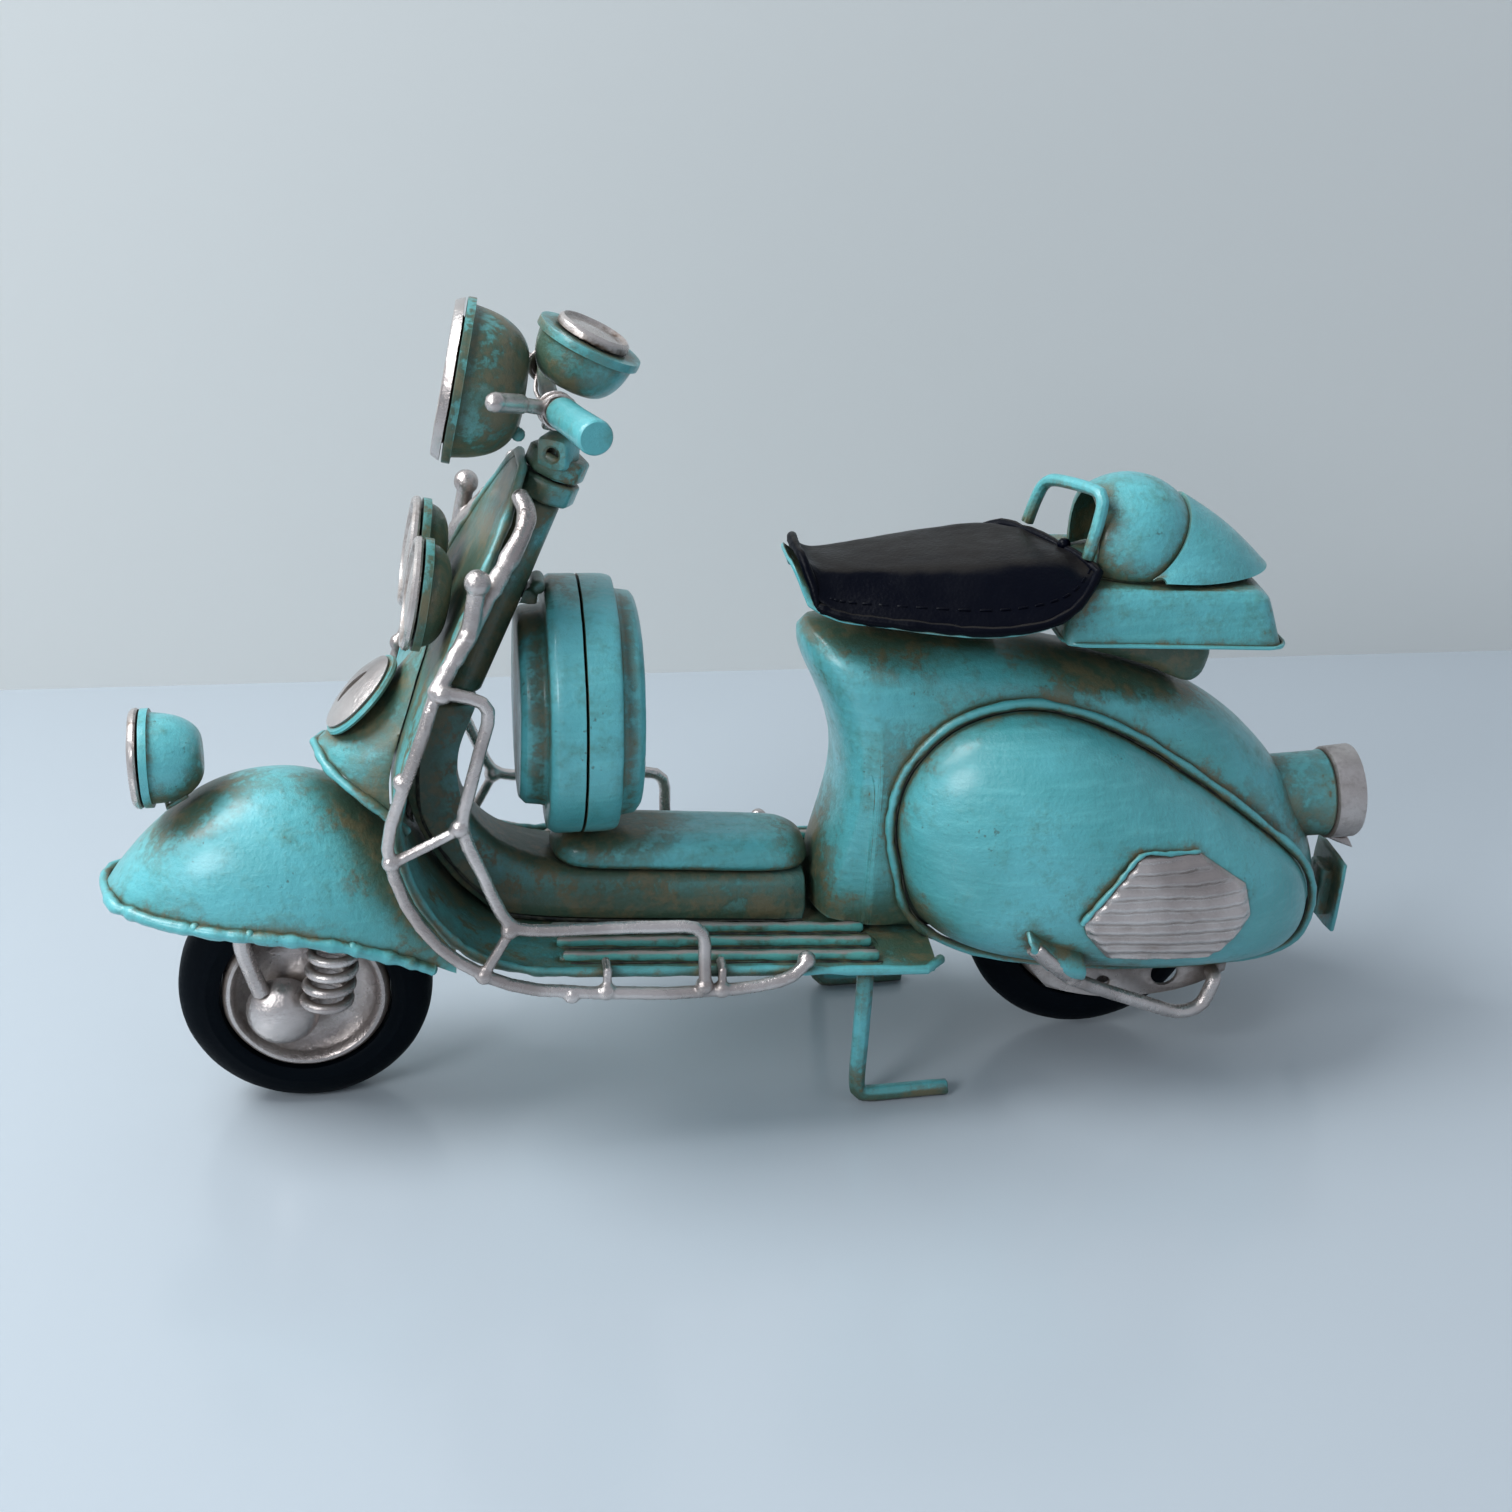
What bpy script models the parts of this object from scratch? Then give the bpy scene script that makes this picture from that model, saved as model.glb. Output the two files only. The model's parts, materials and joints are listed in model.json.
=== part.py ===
"""Hand-made tin motor scooter, about 190 mm long, as separate pieces with real joints.

The scooter is drawn level, nose towards -X and its left side towards -Y, in millimetres. The whole
model is then tipped nose-up by STANCE_PITCH so that the front tyre and the two feet of the centre
stand meet the ground plane z = 0.
"""
import math

import bmesh
import bpy
from mathutils import Matrix, Vector

MM = 0.001
GAP = 0.3                              # clearance left between neighbouring pieces
RUNNING = 0.08                         # radial clearance of a shaft turning in a hole
ROUND = 22                             # sides of a lamp-sized round piece
WHEEL_ROUND = 30                       # sides of a wheel-sized round piece
STANCE_PITCH = math.radians(5.0)       # nose-up pitch of the drawing on its stand
CENTRE_SHIFT = -8.625                  # brings the middle of the overall length to x = 0

# wheels
TYRE_RADIUS = 18.7
TYRE_HALF_WIDTH = 4.8
RIM_RADIUS = 12.3
AXLE_RADIUS = 1.2
FRONT_AXLE = Vector((-59.7, 0.0, 18.8))
REAR_AXLE = Vector((59.3, 0.0, 30.6))

# steering
STEER_TOP = Vector((-26.6, 0.0, 99.0))
STEER_RAKE = math.radians(20.0)
COLUMN_RADIUS = 2.9
SHAFT_RADIUS = 1.2

# floor and leg shield
SHEET = 1.0
FLOOR_TOP = 33.3
FLOOR_HALF_WIDTH = 22.5
FLOOR_END = 31.5

# centre stand
STAND_PIVOT = Vector((21.5, 0.0, 30.0))
STAND_ROD = 1.3
STAND_HALF_WIDTH = 17.0

WIRE_RADIUS = 0.85                     # wire of the crash bars

# kick lever
KICK_PIVOT = Vector((76.6, -13.0, 27.0))

GROUND_NORMAL = Vector((-math.sin(STANCE_PITCH), 0.0, math.cos(STANCE_PITCH)))
GROUND_POINT = FRONT_AXLE - GROUND_NORMAL * TYRE_RADIUS
STEER_AXIS = Vector((math.sin(STEER_RAKE), 0.0, math.cos(STEER_RAKE)))
STEER_DOWN = Vector((-STEER_AXIS.x, 0.0, -STEER_AXIS.z))

COLOURS = {
    # slot: (red, green, blue, roughness, metallic)
    "turquoise": (0.09, 0.40, 0.37, 0.45, 0.0),
    "silver": (0.42, 0.38, 0.35, 0.38, 0.85),
    "tyre": (0.008, 0.009, 0.012, 0.6, 0.0),
    "seat_black": (0.012, 0.013, 0.018, 0.42, 0.0),
    "dial": (0.55, 0.53, 0.50, 0.35, 0.6),
    "tail_red": (0.30, 0.02, 0.02, 0.25, 0.0),
}


# ---------------------------------------------------------------- small tools

def clear_scene():
    for item in list(bpy.data.objects):
        bpy.data.objects.remove(item, do_unlink=True)


def material(slot):
    existing = bpy.data.materials.get(slot)
    if existing:
        return existing
    red, green, blue, roughness, metallic = COLOURS[slot]
    made = bpy.data.materials.new(slot)
    made.use_nodes = True
    shader = made.node_tree.nodes["Principled BSDF"]
    shader.inputs["Base Color"].default_value = (red, green, blue, 1.0)
    shader.inputs["Roughness"].default_value = roughness
    shader.inputs["Metallic"].default_value = metallic
    return made


class Pivot:
    """An empty on a joint's axis; the pieces of that body are its children."""

    def __init__(self, name, place, parent=None):
        self.place = Vector(place)
        self.empty = bpy.data.objects.new(name, None)
        bpy.context.scene.collection.objects.link(self.empty)
        if parent is None:
            return
        self.empty.parent = parent.empty
        self.empty.location = (self.place - parent.place) * MM


def make_stance():
    """The root empty: tips the level drawing onto the ground plane and centres its length."""
    stance = Pivot("stance", (0.0, 0.0, 0.0))
    turn = Matrix.Rotation(STANCE_PITCH, 4, "Y")
    lifted = turn @ GROUND_POINT
    stance.empty.rotation_euler = (0.0, STANCE_PITCH, 0.0)
    stance.empty.location = Vector((CENTRE_SHIFT, 0.0, -lifted.z)) * MM
    return stance


def add_object(name, mesh_bm, slot, pivot, smooth=40.0):
    """Turn a bmesh drawn in scooter millimetres into a named object under its pivot."""
    bmesh.ops.translate(mesh_bm, verts=mesh_bm.verts, vec=-pivot.place)
    bmesh.ops.scale(mesh_bm, verts=mesh_bm.verts, vec=(MM, MM, MM))
    bmesh.ops.recalc_face_normals(mesh_bm, faces=mesh_bm.faces)
    mesh = bpy.data.meshes.new(name)
    mesh_bm.to_mesh(mesh)
    mesh_bm.free()
    mesh.shade_smooth()
    mesh.set_sharp_from_angle(angle=math.radians(smooth))
    mesh.materials.append(material(slot))
    piece = bpy.data.objects.new(name, mesh)
    bpy.context.scene.collection.objects.link(piece)
    piece.parent = pivot.empty
    return piece


def thicken(piece, thickness, towards):
    """Give an open sheet its metal thickness, grown to the side that towards points to."""
    towards = Vector(towards)
    facing = sum(face.area * face.normal.dot(towards) for face in piece.data.polygons)
    sheet = piece.modifiers.new("sheet", "SOLIDIFY")
    sheet.thickness = thickness * MM
    sheet.offset = 1.0 if facing > 0 else -1.0
    sheet.use_even_offset = True
    return piece


def cut(piece, cutter, operation="DIFFERENCE"):
    """Boolean with a helper object that is left out of the part."""
    cutter.hide_render = True
    cutter.display_type = "WIRE"
    step = piece.modifiers.new(operation.lower(), "BOOLEAN")
    step.operation = operation
    step.solver = "EXACT"
    step.object = cutter


def fuse(piece, *extras):
    """Solder helper objects onto a piece, so that they are one body."""
    for extra in extras:
        cut(piece, extra, "UNION")
    return piece


def smooth_curve(points, steps, closed=False):
    """Catmull-Rom curve through the points, with the given number of steps in each span."""
    points = [Vector(p) for p in points]
    count = len(points)
    spans = count if closed else count - 1
    curve = []
    for i in range(spans):
        p1, p2 = points[i], points[(i + 1) % count]
        p0 = points[(i - 1) % count] if closed or i > 0 else p1 * 2 - p2
        p3 = points[(i + 2) % count] if closed or i < spans - 1 else p2 * 2 - p1
        for k in range(steps):
            t = k / steps
            curve.append(0.5 * ((2 * p1) + (p2 - p0) * t + (2 * p0 - 5 * p1 + 4 * p2 - p3) * t * t
                                + (3 * p1 - p0 - 3 * p2 + p3) * t ** 3))
    if not closed:
        curve.append(points[-1])
    return curve


def rounded_path(corners, radius, steps=3):
    """A path of straight runs whose inner corners are rounded by arcs."""
    corners = [Vector(c) for c in corners]
    path = [corners[0]]
    for before, corner, after in zip(corners, corners[1:], corners[2:]):
        back = before - corner
        ahead = after - corner
        reach = min(radius, back.length * 0.48, ahead.length * 0.48)
        start = corner + back.normalized() * reach
        end = corner + ahead.normalized() * reach
        for k in range(steps + 1):
            t = k / steps
            path.append(start * (1 - t) ** 2 + corner * 2 * t * (1 - t) + end * t * t)
    path.append(corners[-1])
    return path


def rod_mesh(path, radius, sides=8, squash=1.0):
    """A bar swept along a path, closed at both ends; squash flattens it across its first side."""
    path = [Vector(p) for p in path]
    bm = bmesh.new()
    heading = (path[1] - path[0]).normalized()
    side = heading.orthogonal().normalized()
    rings = []
    for i, point in enumerate(path):
        ahead = path[min(i + 1, len(path) - 1)]
        behind = path[max(i - 1, 0)]
        turned = (ahead - behind).normalized()
        side = (heading.rotation_difference(turned) @ side).normalized()
        side = (side - turned * side.dot(turned)).normalized()
        heading = turned
        other = heading.cross(side)
        ring = []
        for k in range(sides):
            angle = 2 * math.pi * (k + 0.5) / sides
            offset = side * math.cos(angle) * radius * squash + other * math.sin(angle) * radius
            ring.append(bm.verts.new(point + offset))
        rings.append(ring)
    join_rings(bm, rings)
    bm.faces.new(rings[0])
    bm.faces.new(rings[-1])
    return bm


def join_rings(bm, rings, closed=True):
    for ring_a, ring_b in zip(rings, rings[1:]):
        count = len(ring_a)
        for k in range(count if closed else count - 1):
            n = (k + 1) % count
            bm.faces.new((ring_a[k], ring_a[n], ring_b[n], ring_b[k]))


def turned_mesh(profile, centre, axis, sides=32):
    """A solid of revolution. The profile is a closed list of (distance along axis, radius)."""
    axis = Vector(axis).normalized()
    side = axis.orthogonal().normalized()
    other = axis.cross(side)
    bm = bmesh.new()
    rings = []
    for along, radius in profile:
        base = Vector(centre) + axis * along
        if radius < 1e-6:
            rings.append([bm.verts.new(base)])
            continue
        ring = []
        for k in range(sides):
            angle = 2 * math.pi * k / sides
            ring.append(bm.verts.new(base + (side * math.cos(angle) + other * math.sin(angle)) * radius))
        rings.append(ring)
    pairs = list(zip(rings, rings[1:] + rings[:1]))
    if len(rings[0]) == 1 and len(rings[-1]) == 1:
        pairs = pairs[:-1]
    for ring_a, ring_b in pairs:
        for k in range(sides):
            n = (k + 1) % sides
            corners = [ring_a[k % len(ring_a)], ring_a[n % len(ring_a)],
                       ring_b[n % len(ring_b)], ring_b[k % len(ring_b)]]
            unique = list(dict.fromkeys(corners))
            if len(unique) > 2:
                bm.faces.new(unique)
    return bm


def block_mesh(outline, low, high):
    """An outline of (x, z) points extruded across the scooter from y = low to y = high."""
    bm = bmesh.new()
    first = [bm.verts.new((x, low, z)) for x, z in outline]
    second = [bm.verts.new((x, high, z)) for x, z in outline]
    join_rings(bm, [first, second])
    bm.faces.new(first)
    bm.faces.new(second)
    return bm


def crowned_sheet(ridge, edge, arc_steps=6, power=1.0):
    """An arched sheet, the same on both sides.

    ridge is a list of (x, z) along the middle; edge is a list of (x, half width, z) along the side.
    Each cross-section is a quarter ellipse from ridge to edge, mirrored.
    """
    bm = bmesh.new()
    rows = []
    for (rx, rz), (ex, ew, ez) in zip(ridge, edge):
        row = []
        for k in range(-arc_steps, arc_steps + 1):
            angle = 0.5 * math.pi * k / arc_steps
            drop = (1 - math.cos(angle)) ** power
            row.append(bm.verts.new((rx + (ex - rx) * drop, ew * math.sin(angle), rz + (ez - rz) * drop)))
        rows.append(row)
    join_rings(bm, rows, closed=False)
    bmesh.ops.remove_doubles(bm, verts=bm.verts, dist=0.01)
    return bm


# ---------------------------------------------------------------- wheels

def wheel(prefix, axle, pivot):
    """Solid rubber tyre on a dished pressed rim with a plain axle through it."""
    fat = TYRE_HALF_WIDTH
    deep = TYRE_RADIUS - RIM_RADIUS - GAP
    centre_radius = RIM_RADIUS + GAP + deep / 2
    outer = []
    for k in range(7):
        angle = math.pi * k / 6
        outer.append((-fat * math.cos(angle), centre_radius + (deep / 2) * math.sin(angle)))
    tyre = [(-fat, RIM_RADIUS + GAP)] + outer + [(fat, RIM_RADIUS + GAP)]
    add_object(prefix + "_tyre", turned_mesh(tyre, axle, (0, 1, 0), WHEEL_ROUND), "tyre", pivot)

    lip = 4.4
    bore = AXLE_RADIUS + RUNNING
    rim = [(-lip, RIM_RADIUS), (-lip, RIM_RADIUS - 1.4), (-lip + 1.5, RIM_RADIUS - 2.0), (-2.2, 5.0),
           (-3.4, 3.4), (-3.4, bore), (3.4, bore), (3.4, 3.4), (2.2, 5.0),
           (lip - 1.5, RIM_RADIUS - 2.0), (lip, RIM_RADIUS - 1.4), (lip, RIM_RADIUS)]
    add_object(prefix + "_rim", turned_mesh(rim, axle, (0, 1, 0), WHEEL_ROUND), "silver", pivot)


def axle_rod(name, axle, low, high, pivot):
    profile = [(low, 0.0), (low, AXLE_RADIUS), (high, AXLE_RADIUS), (high, 0.0)]
    add_object(name, turned_mesh(profile, axle, (0, 1, 0), 16), "silver", pivot)


# ---------------------------------------------------------------- floor, shield and tunnel

def shield_outline():
    """Outer face of the sheet in side view, from the top of the shield to the end of the floor."""
    bend = smooth_curve([(-31.5, 100.5, 0), (-36.5, 89.0, 0), (-41.9, 77.0, 0), (-46.4, 64.0, 0),
                         (-47.9, 55.5, 0), (-46.4, 47.6, 0), (-42.3, 40.4, 0), (-36.5, 35.0, 0),
                         (-29.0, FLOOR_TOP - SHEET + 0.3, 0), (-22.0, FLOOR_TOP - SHEET, 0)], 2)
    line = [(p.x, p.y) for p in bend]
    return line + [(-4.0, FLOOR_TOP - SHEET), (14.0, FLOOR_TOP - SHEET), (FLOOR_END - 3.0, FLOOR_TOP - SHEET),
                   (FLOOR_END - 1.0, FLOOR_TOP - SHEET), (FLOOR_END, FLOOR_TOP - SHEET)]


def shield_half_width(x, z):
    """Narrow, round-shouldered top; full width from knee height down; rounded rear corners."""
    if x > FLOOR_END - 3.0:
        inset = 3.0 - math.sqrt(max(0.0, 9.0 - (x - FLOOR_END + 3.0) ** 2))
        return FLOOR_HALF_WIDTH - inset
    if z < 60.0:
        return FLOOR_HALF_WIDTH
    rise = (z - 60.0) / (101.5 - 60.0)
    return FLOOR_HALF_WIDTH * math.sqrt(max(0.0, 1.0 - rise ** 1.3))


def leg_shield(frame):
    bm = bmesh.new()
    rows = []
    columns = 4
    for x, z in shield_outline():
        half = shield_half_width(x, z)
        rows.append([bm.verts.new((x, half * (2 * k / columns - 1), z)) for k in range(columns + 1)])
    join_rings(bm, rows, closed=False)
    shield = add_object("leg_shield_floor", bm, "turquoise", frame)
    thicken(shield, SHEET, (1.0, 0.0, 1.0))
    cut(shield, shaft_clearance(frame, "shield_bore", SHAFT_RADIUS + 0.5))
    cut(shield, shaft_clearance(frame, "nut_notch", 4.4 + GAP, -4.0, 4.2))
    fuse(shield, *tread_strips(frame))
    fuse(shield, *stand_clips(frame))


def shaft_clearance(frame, name, radius, start=20.0, end=68.0):
    """Bore along the steering axis, between two distances below STEER_TOP."""
    profile = [(start, 0.0), (start, radius), (end, radius), (end, 0.0)]
    return add_object(name, turned_mesh(profile, STEER_TOP, STEER_DOWN, 16), "silver", frame)


def behind_shield(frame, name, gap=GAP):
    """Solid filling everything behind the outer face of the shield, to trim pieces that butt on it."""
    line = [(x - gap * 0.95, z - gap * 0.5) for x, z in shield_outline()]
    line = [(line[0][0] + 6.0, line[0][1] + 16.0)] + line
    outline = line + [(FLOOR_END, 130.0)]
    return add_object(name, block_mesh(outline, -40.0, 40.0), "silver", frame)


def tread_strips(frame):
    """Three half-round strips soldered to the floor on each side of the tunnel."""
    strips = []
    low = FLOOR_TOP - 0.4
    for side in (-1, 1):
        for number, y in enumerate((11.0, 15.2, 19.3), start=1):
            profile = [(-0.8, low), (-0.8, low + 0.8), (-0.4, low + 1.3), (0.4, low + 1.3), (0.8, low + 0.8),
                       (0.8, low)]
            bm = bmesh.new()
            rings = [[bm.verts.new((x, side * y + offset, z)) for offset, z in profile]
                     for x in (-24.0, 21.0)]
            join_rings(bm, rings)
            bm.faces.new(rings[0])
            bm.faces.new(rings[1])
            strips.append(add_object(f"tread_strip_{side}_{number}", bm, "silver", frame))
    return strips


def tunnel(frame):
    """Centre channel: comes down behind the shield and runs back along the floor."""
    top = smooth_curve([(-35.8, 65.5, 0), (-38.3, 57.5, 0), (-37.2, 50.0, 0), (-32.5, 44.2, 0),
                        (-25.0, 41.3, 0), (-15.0, 40.6, 0), (13.4, 40.2, 0)], 3)
    foot = smooth_curve([(-44.6, 65.0, 0), (-46.0, 55.5, 0), (-44.3, 48.2, 0), (-40.2, 41.6, 0),
                         (-35.0, 36.9, 0), (-27.0, FLOOR_TOP + 0.9, 0), (13.4, FLOOR_TOP + 0.4, 0)], 3)
    half_top = smooth_curve([(2.9, 0, 0), (3.2, 0, 0), (3.8, 0, 0), (4.8, 0, 0), (6.0, 0, 0),
                             (6.6, 0, 0), (6.8, 0, 0)], 3)
    half_foot = smooth_curve([(3.5, 0, 0), (4.0, 0, 0), (4.8, 0, 0), (6.2, 0, 0), (7.6, 0, 0),
                              (8.2, 0, 0), (8.4, 0, 0)], 3)
    bm = bmesh.new()
    rows = []
    for t, f, wt, wf in zip(top, foot, half_top, half_foot):
        section = [(f, -wf.x), (t, -wt.x), (t, wt.x), (f, wf.x)]
        rows.append([bm.verts.new((p.x, y, p.y)) for p, y in section])
    join_rings(bm, rows, closed=False)
    channel = add_object("tunnel", bm, "turquoise", frame)
    thicken(channel, 0.8, (-1.0, 0.0, -1.0))


def tunnel_pad(frame):
    """Low crowned cover on top of the tunnel."""
    base = 40.9
    rings = []
    bm = bmesh.new()
    for height, inset in ((0.0, 0.4), (0.8, 0.0), (2.6, 0.5), (3.9, 1.9), (4.5, 4.2)):
        ring = []
        for x, y in pad_outline(inset):
            ring.append(bm.verts.new((x, y, base + height + 0.02 * (4.0 - x) * (x < 4.0))))
        rings.append(ring)
    join_rings(bm, rings)
    bm.faces.new(rings[0])
    bm.faces.new(rings[-1])
    add_object("tunnel_pad", bm, "turquoise", frame)


def pad_outline(inset):
    """Long oval in plan with round ends."""
    half = 7.4 - inset
    front, back = -24.5 + inset, 14.2 - inset
    corner = 5.5 - inset * 0.6
    points = []
    for cx, cy, start in ((back - corner, half - corner, 0), (front + corner, half - corner, 90),
                          (front + corner, corner - half, 180), (back - corner, corner - half, 270)):
        for k in range(4):
            angle = math.radians(start + 30 * k)
            points.append((cx + corner * math.cos(angle), cy + corner * math.sin(angle)))
    return points


# ---------------------------------------------------------------- front fender and nose

def fender_lines():
    ridge = smooth_curve([(-88.0, 36.0, 0), (-85.2, 39.8, 0), (-80.6, 45.3, 0), (-74.6, 50.4, 0),
                          (-67.0, 53.2, 0), (-59.5, 53.3, 0), (-52.0, 50.3, 0), (-45.0, 44.5, 0),
                          (-38.5, 38.0, 0)], 2)
    edge = smooth_curve([(-88.0, 0.4, 36.0), (-86.4, 5.6, 35.7), (-81.6, 9.8, 35.5), (-74.6, 12.9, 35.4),
                         (-67.0, 14.6, 35.2), (-59.0, 15.0, 34.6), (-51.5, 14.8, 33.0),
                         (-44.5, 14.2, 30.6), (-38.0, 13.2, 27.6)], 2)
    return [(p.x, p.y) for p in ridge], [tuple(p) for p in edge]


def front_fender(frame):
    ridge, edge = fender_lines()
    fender = add_object("front_fender", crowned_sheet(ridge, edge, 5), "turquoise", frame)
    thicken(fender, SHEET, (0.0, 0.0, -1.0))
    cut(fender, behind_shield(frame, "fender_trim"))
    cut(fender, shaft_clearance(frame, "fender_bore", 2.2))


def fender_hem(frame):
    """Rolled bead just under the lower edge of the fender, from side to side round the front."""
    _, edge = fender_lines()
    side = [(x - 0.2, -w - 0.15, z - 1.25) for x, w, z in edge[2:-1]]
    path = side[::-1] + [(-88.9, 0.0, 34.6)] + [(x, -y, z) for x, y, z in side]
    add_object("fender_hem", rod_mesh(path, 0.75, 6), "turquoise", frame)


def nose_cover(frame):
    """Pointed cover on the front of the shield that carries the horn."""
    ridge = smooth_curve([(-58.3, 58.6, 0), (-55.0, 61.2, 0), (-50.3, 65.6, 0), (-45.8, 71.2, 0),
                          (-41.8, 77.0, 0)], 2)
    edge = smooth_curve([(-58.3, 0.5, 58.6), (-56.3, 5.5, 57.2), (-52.6, 8.6, 55.2),
                         (-48.0, 10.6, 52.4), (-43.8, 11.4, 49.4)], 2)
    nose = add_object("nose_cover", crowned_sheet([(p.x, p.y) for p in ridge], [tuple(p) for p in edge], 5),
                      "turquoise", frame)
    thicken(nose, 0.8, (1.0, 0.0, -1.0))
    cut(nose, behind_shield(frame, "nose_trim"))


def dished_disc(name, centre, axis, radius, rim, thickness, slot, pivot, sides=ROUND):
    profile = [(0.0, 0.0), (0.0, radius), (rim, radius), (rim, radius * 0.86), (thickness, radius * 0.78),
               (thickness, 0.0)]
    add_object(name, turned_mesh(profile, centre, axis, sides), slot, pivot)


# ---------------------------------------------------------------- lamps

def lamp_bowl(name, centre, axis, radius, depth, back_radius, pivot, mouth=None):
    """Pressed bowl with a flange; centre is the middle of the flange's front, axis points out of it.

    mouth, if given, is the radius of the opening that an inturned front face leaves.
    """
    lip = radius * 0.92
    wall = 0.8
    outer = []
    inner = []
    steps = 4
    for k in range(steps + 1):
        angle = 0.5 * math.pi * k / steps
        along = -1.2 - (depth - 1.2) * math.sin(angle)
        reach = back_radius + (lip - back_radius) * math.cos(angle)
        outer.append((along, reach))
        if k % 2 == 0:
            inner.append((along + wall, reach - wall))
    profile = [(0.0, radius), (-1.2, radius)] + outer + [(-depth, 0.0), (-depth + wall, 0.0)]
    profile += inner[::-1]
    if mouth:
        profile += [(-wall, lip - wall), (-wall, mouth), (0.0, mouth)]
    else:
        profile += [(0.0, lip - wall)]
    return add_object(name, turned_mesh(dedupe(profile), centre, axis, ROUND), "turquoise", pivot)


def lamp_front(name, centre, axis, radius, slot, pivot):
    """Small lamp's front: bezel and dished reflector pressed from one disc."""
    profile = [(GAP, 0.0), (GAP, radius * 0.98), (GAP + 0.9, radius * 0.96), (GAP + 1.3, radius * 0.88),
               (GAP + 0.7, radius * 0.78), (GAP + 0.9, radius * 0.40), (GAP + 1.2, 0.0)]
    return add_object(name, turned_mesh(profile, centre, axis, ROUND), slot, pivot)


def bezel_and_disc(prefix, centre, axis, radius, slot, pivot):
    """Large lamp's front: open bezel ring with a separate domed disc inside it."""
    inner = radius * 0.80
    ring = [(GAP, radius * 0.99), (GAP, inner), (GAP + 0.5, inner), (GAP + 1.3, inner + 0.9),
            (GAP + 1.3, radius * 0.93)]
    add_object(prefix + "_ring", turned_mesh(ring, centre, axis, ROUND), "silver", pivot)
    reach = inner - GAP
    disc = [(-0.6, 0.0), (-0.6, reach * 0.9), (0.2, reach), (0.7, reach), (1.3, reach * 0.6), (1.6, 0.0)]
    add_object(prefix + "_lens", turned_mesh(disc, centre, axis, ROUND), slot, pivot)


def dedupe(profile):
    kept = []
    for point in profile:
        if not kept or abs(point[0] - kept[-1][0]) + abs(point[1] - kept[-1][1]) > 1e-4:
            kept.append(point)
    return kept


def direction(pitch_degrees, yaw_degrees=0.0):
    """Forward direction tipped up, and turned to the right, by the given angles."""
    pitch, yaw = math.radians(pitch_degrees), math.radians(yaw_degrees)
    return Vector((-math.cos(pitch) * math.cos(yaw), math.cos(pitch) * math.sin(yaw), math.sin(pitch)))


def headlight(steering):
    centre = (-40.2, 0.0, 111.9)
    axis = direction(8.0, 4.0)
    lamp_bowl("headlight_bowl", centre, axis, 11.4, 9.6, 4.4, steering)
    bezel_and_disc("headlight", centre, axis, 11.4, "dial", steering)


def speedometer(steering):
    """Round gauge behind the headlight, its dial tipped back towards the rider."""
    centre = Vector((-22.1, 0.0, 118.3))
    axis = Vector((math.sin(math.radians(23.0)), 0.0, math.cos(math.radians(23.0))))
    lamp_bowl("speedometer_bowl", centre, axis, 7.5, 7.2, 3.4, steering, mouth=4.4)
    lamp_front("speedometer_dial", centre, axis, 5.4, "dial", steering)


def spot_lamps(frame):
    """Two round lamps on short stays soldered to the front of the shield."""
    axis = direction(7.5)
    for side, sign in (("left", -1), ("right", 1)):
        centre = (-44.7, 8.3 * sign, 84.2)
        lamp_bowl("spot_lamp_bowl_" + side, centre, axis, 7.9, 4.3, 2.5, frame)
        lamp_front("spot_lamp_front_" + side, centre, axis, 7.9, "dial", frame)


def fender_lamp(frame):
    """Near-spherical lamp on the fender, held up by a small bent stay."""
    centre = (-82.4, 0.0, 55.3)
    axis = direction(-4.0)
    bowl = lamp_bowl("fender_lamp_bowl", centre, axis, 7.2, 8.4, 2.4, frame)
    lamp_front("fender_lamp_front", centre, axis, 7.2, "dial", frame)
    foot = [(-79.0, -2.4, 50.0), (-79.0, -2.6, 48.9), (-77.8, -2.8, 49.9), (-76.2, -2.8, 51.0)]
    fuse(bowl, add_object("fender_lamp_stay", rod_mesh(foot, 0.5, 6), "turquoise", frame))


def horn(frame):
    """Round horn grille lying on the sloping front of the nose cover."""
    axis = Vector((-0.75, 0.0, 0.66))
    centre = Vector((-51.9, 0.0, 65.5))
    dished_disc("horn_disc", centre, axis, 6.9, 0.8, 1.5, "silver", frame)


# ---------------------------------------------------------------- steering

def on_axis(distance):
    """Point on the steering axis, measured up from STEER_TOP."""
    return STEER_TOP + STEER_AXIS * distance


def column(frame):
    inner = SHAFT_RADIUS + RUNNING
    profile = [(-33.4, COLUMN_RADIUS), (-3.5, COLUMN_RADIUS), (-3.5, inner), (-33.4, inner)]
    add_object("steering_column", turned_mesh(profile, STEER_TOP, STEER_AXIS, 20), "turquoise", frame)


def octagon_nut(name, low, high, inner, pivot):
    profile = [(low, inner), (low, 4.0), (low + 0.4, 4.4), (high - 0.4, 4.4), (high, 4.0), (high, inner)]
    return add_object(name, turned_mesh(profile, STEER_TOP, STEER_AXIS, 8), "turquoise", pivot, smooth=20.0)


def head_nuts(frame, steering):
    """Two octagonal nuts: the lower one locks the column, the upper one clamps the square stem."""
    octagon_nut("column_nut", -3.2, 0.05, SHAFT_RADIUS + GAP, frame)
    nut = octagon_nut("stem", 0.35, 3.6, SHAFT_RADIUS + GAP, steering)
    bar = [on_axis(3.2), on_axis(8.4)]
    post = add_object("stem_post", rod_mesh(bar, 2.3, 4), "turquoise", steering, smooth=20.0)
    fuse(nut, post)


def steering_shaft(steering):
    path = [on_axis(2.8), on_axis(-61.4)]
    add_object("steering_shaft", rod_mesh(path, SHAFT_RADIUS, 16), "silver", steering)


def bar_path(sign):
    return [(-27.0, 0.0, 109.4), (-27.2, 4.0 * sign, 109.6), (-27.6, 9.5 * sign, 111.4),
            (-23.6, 24.5 * sign, 112.2)]


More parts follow.
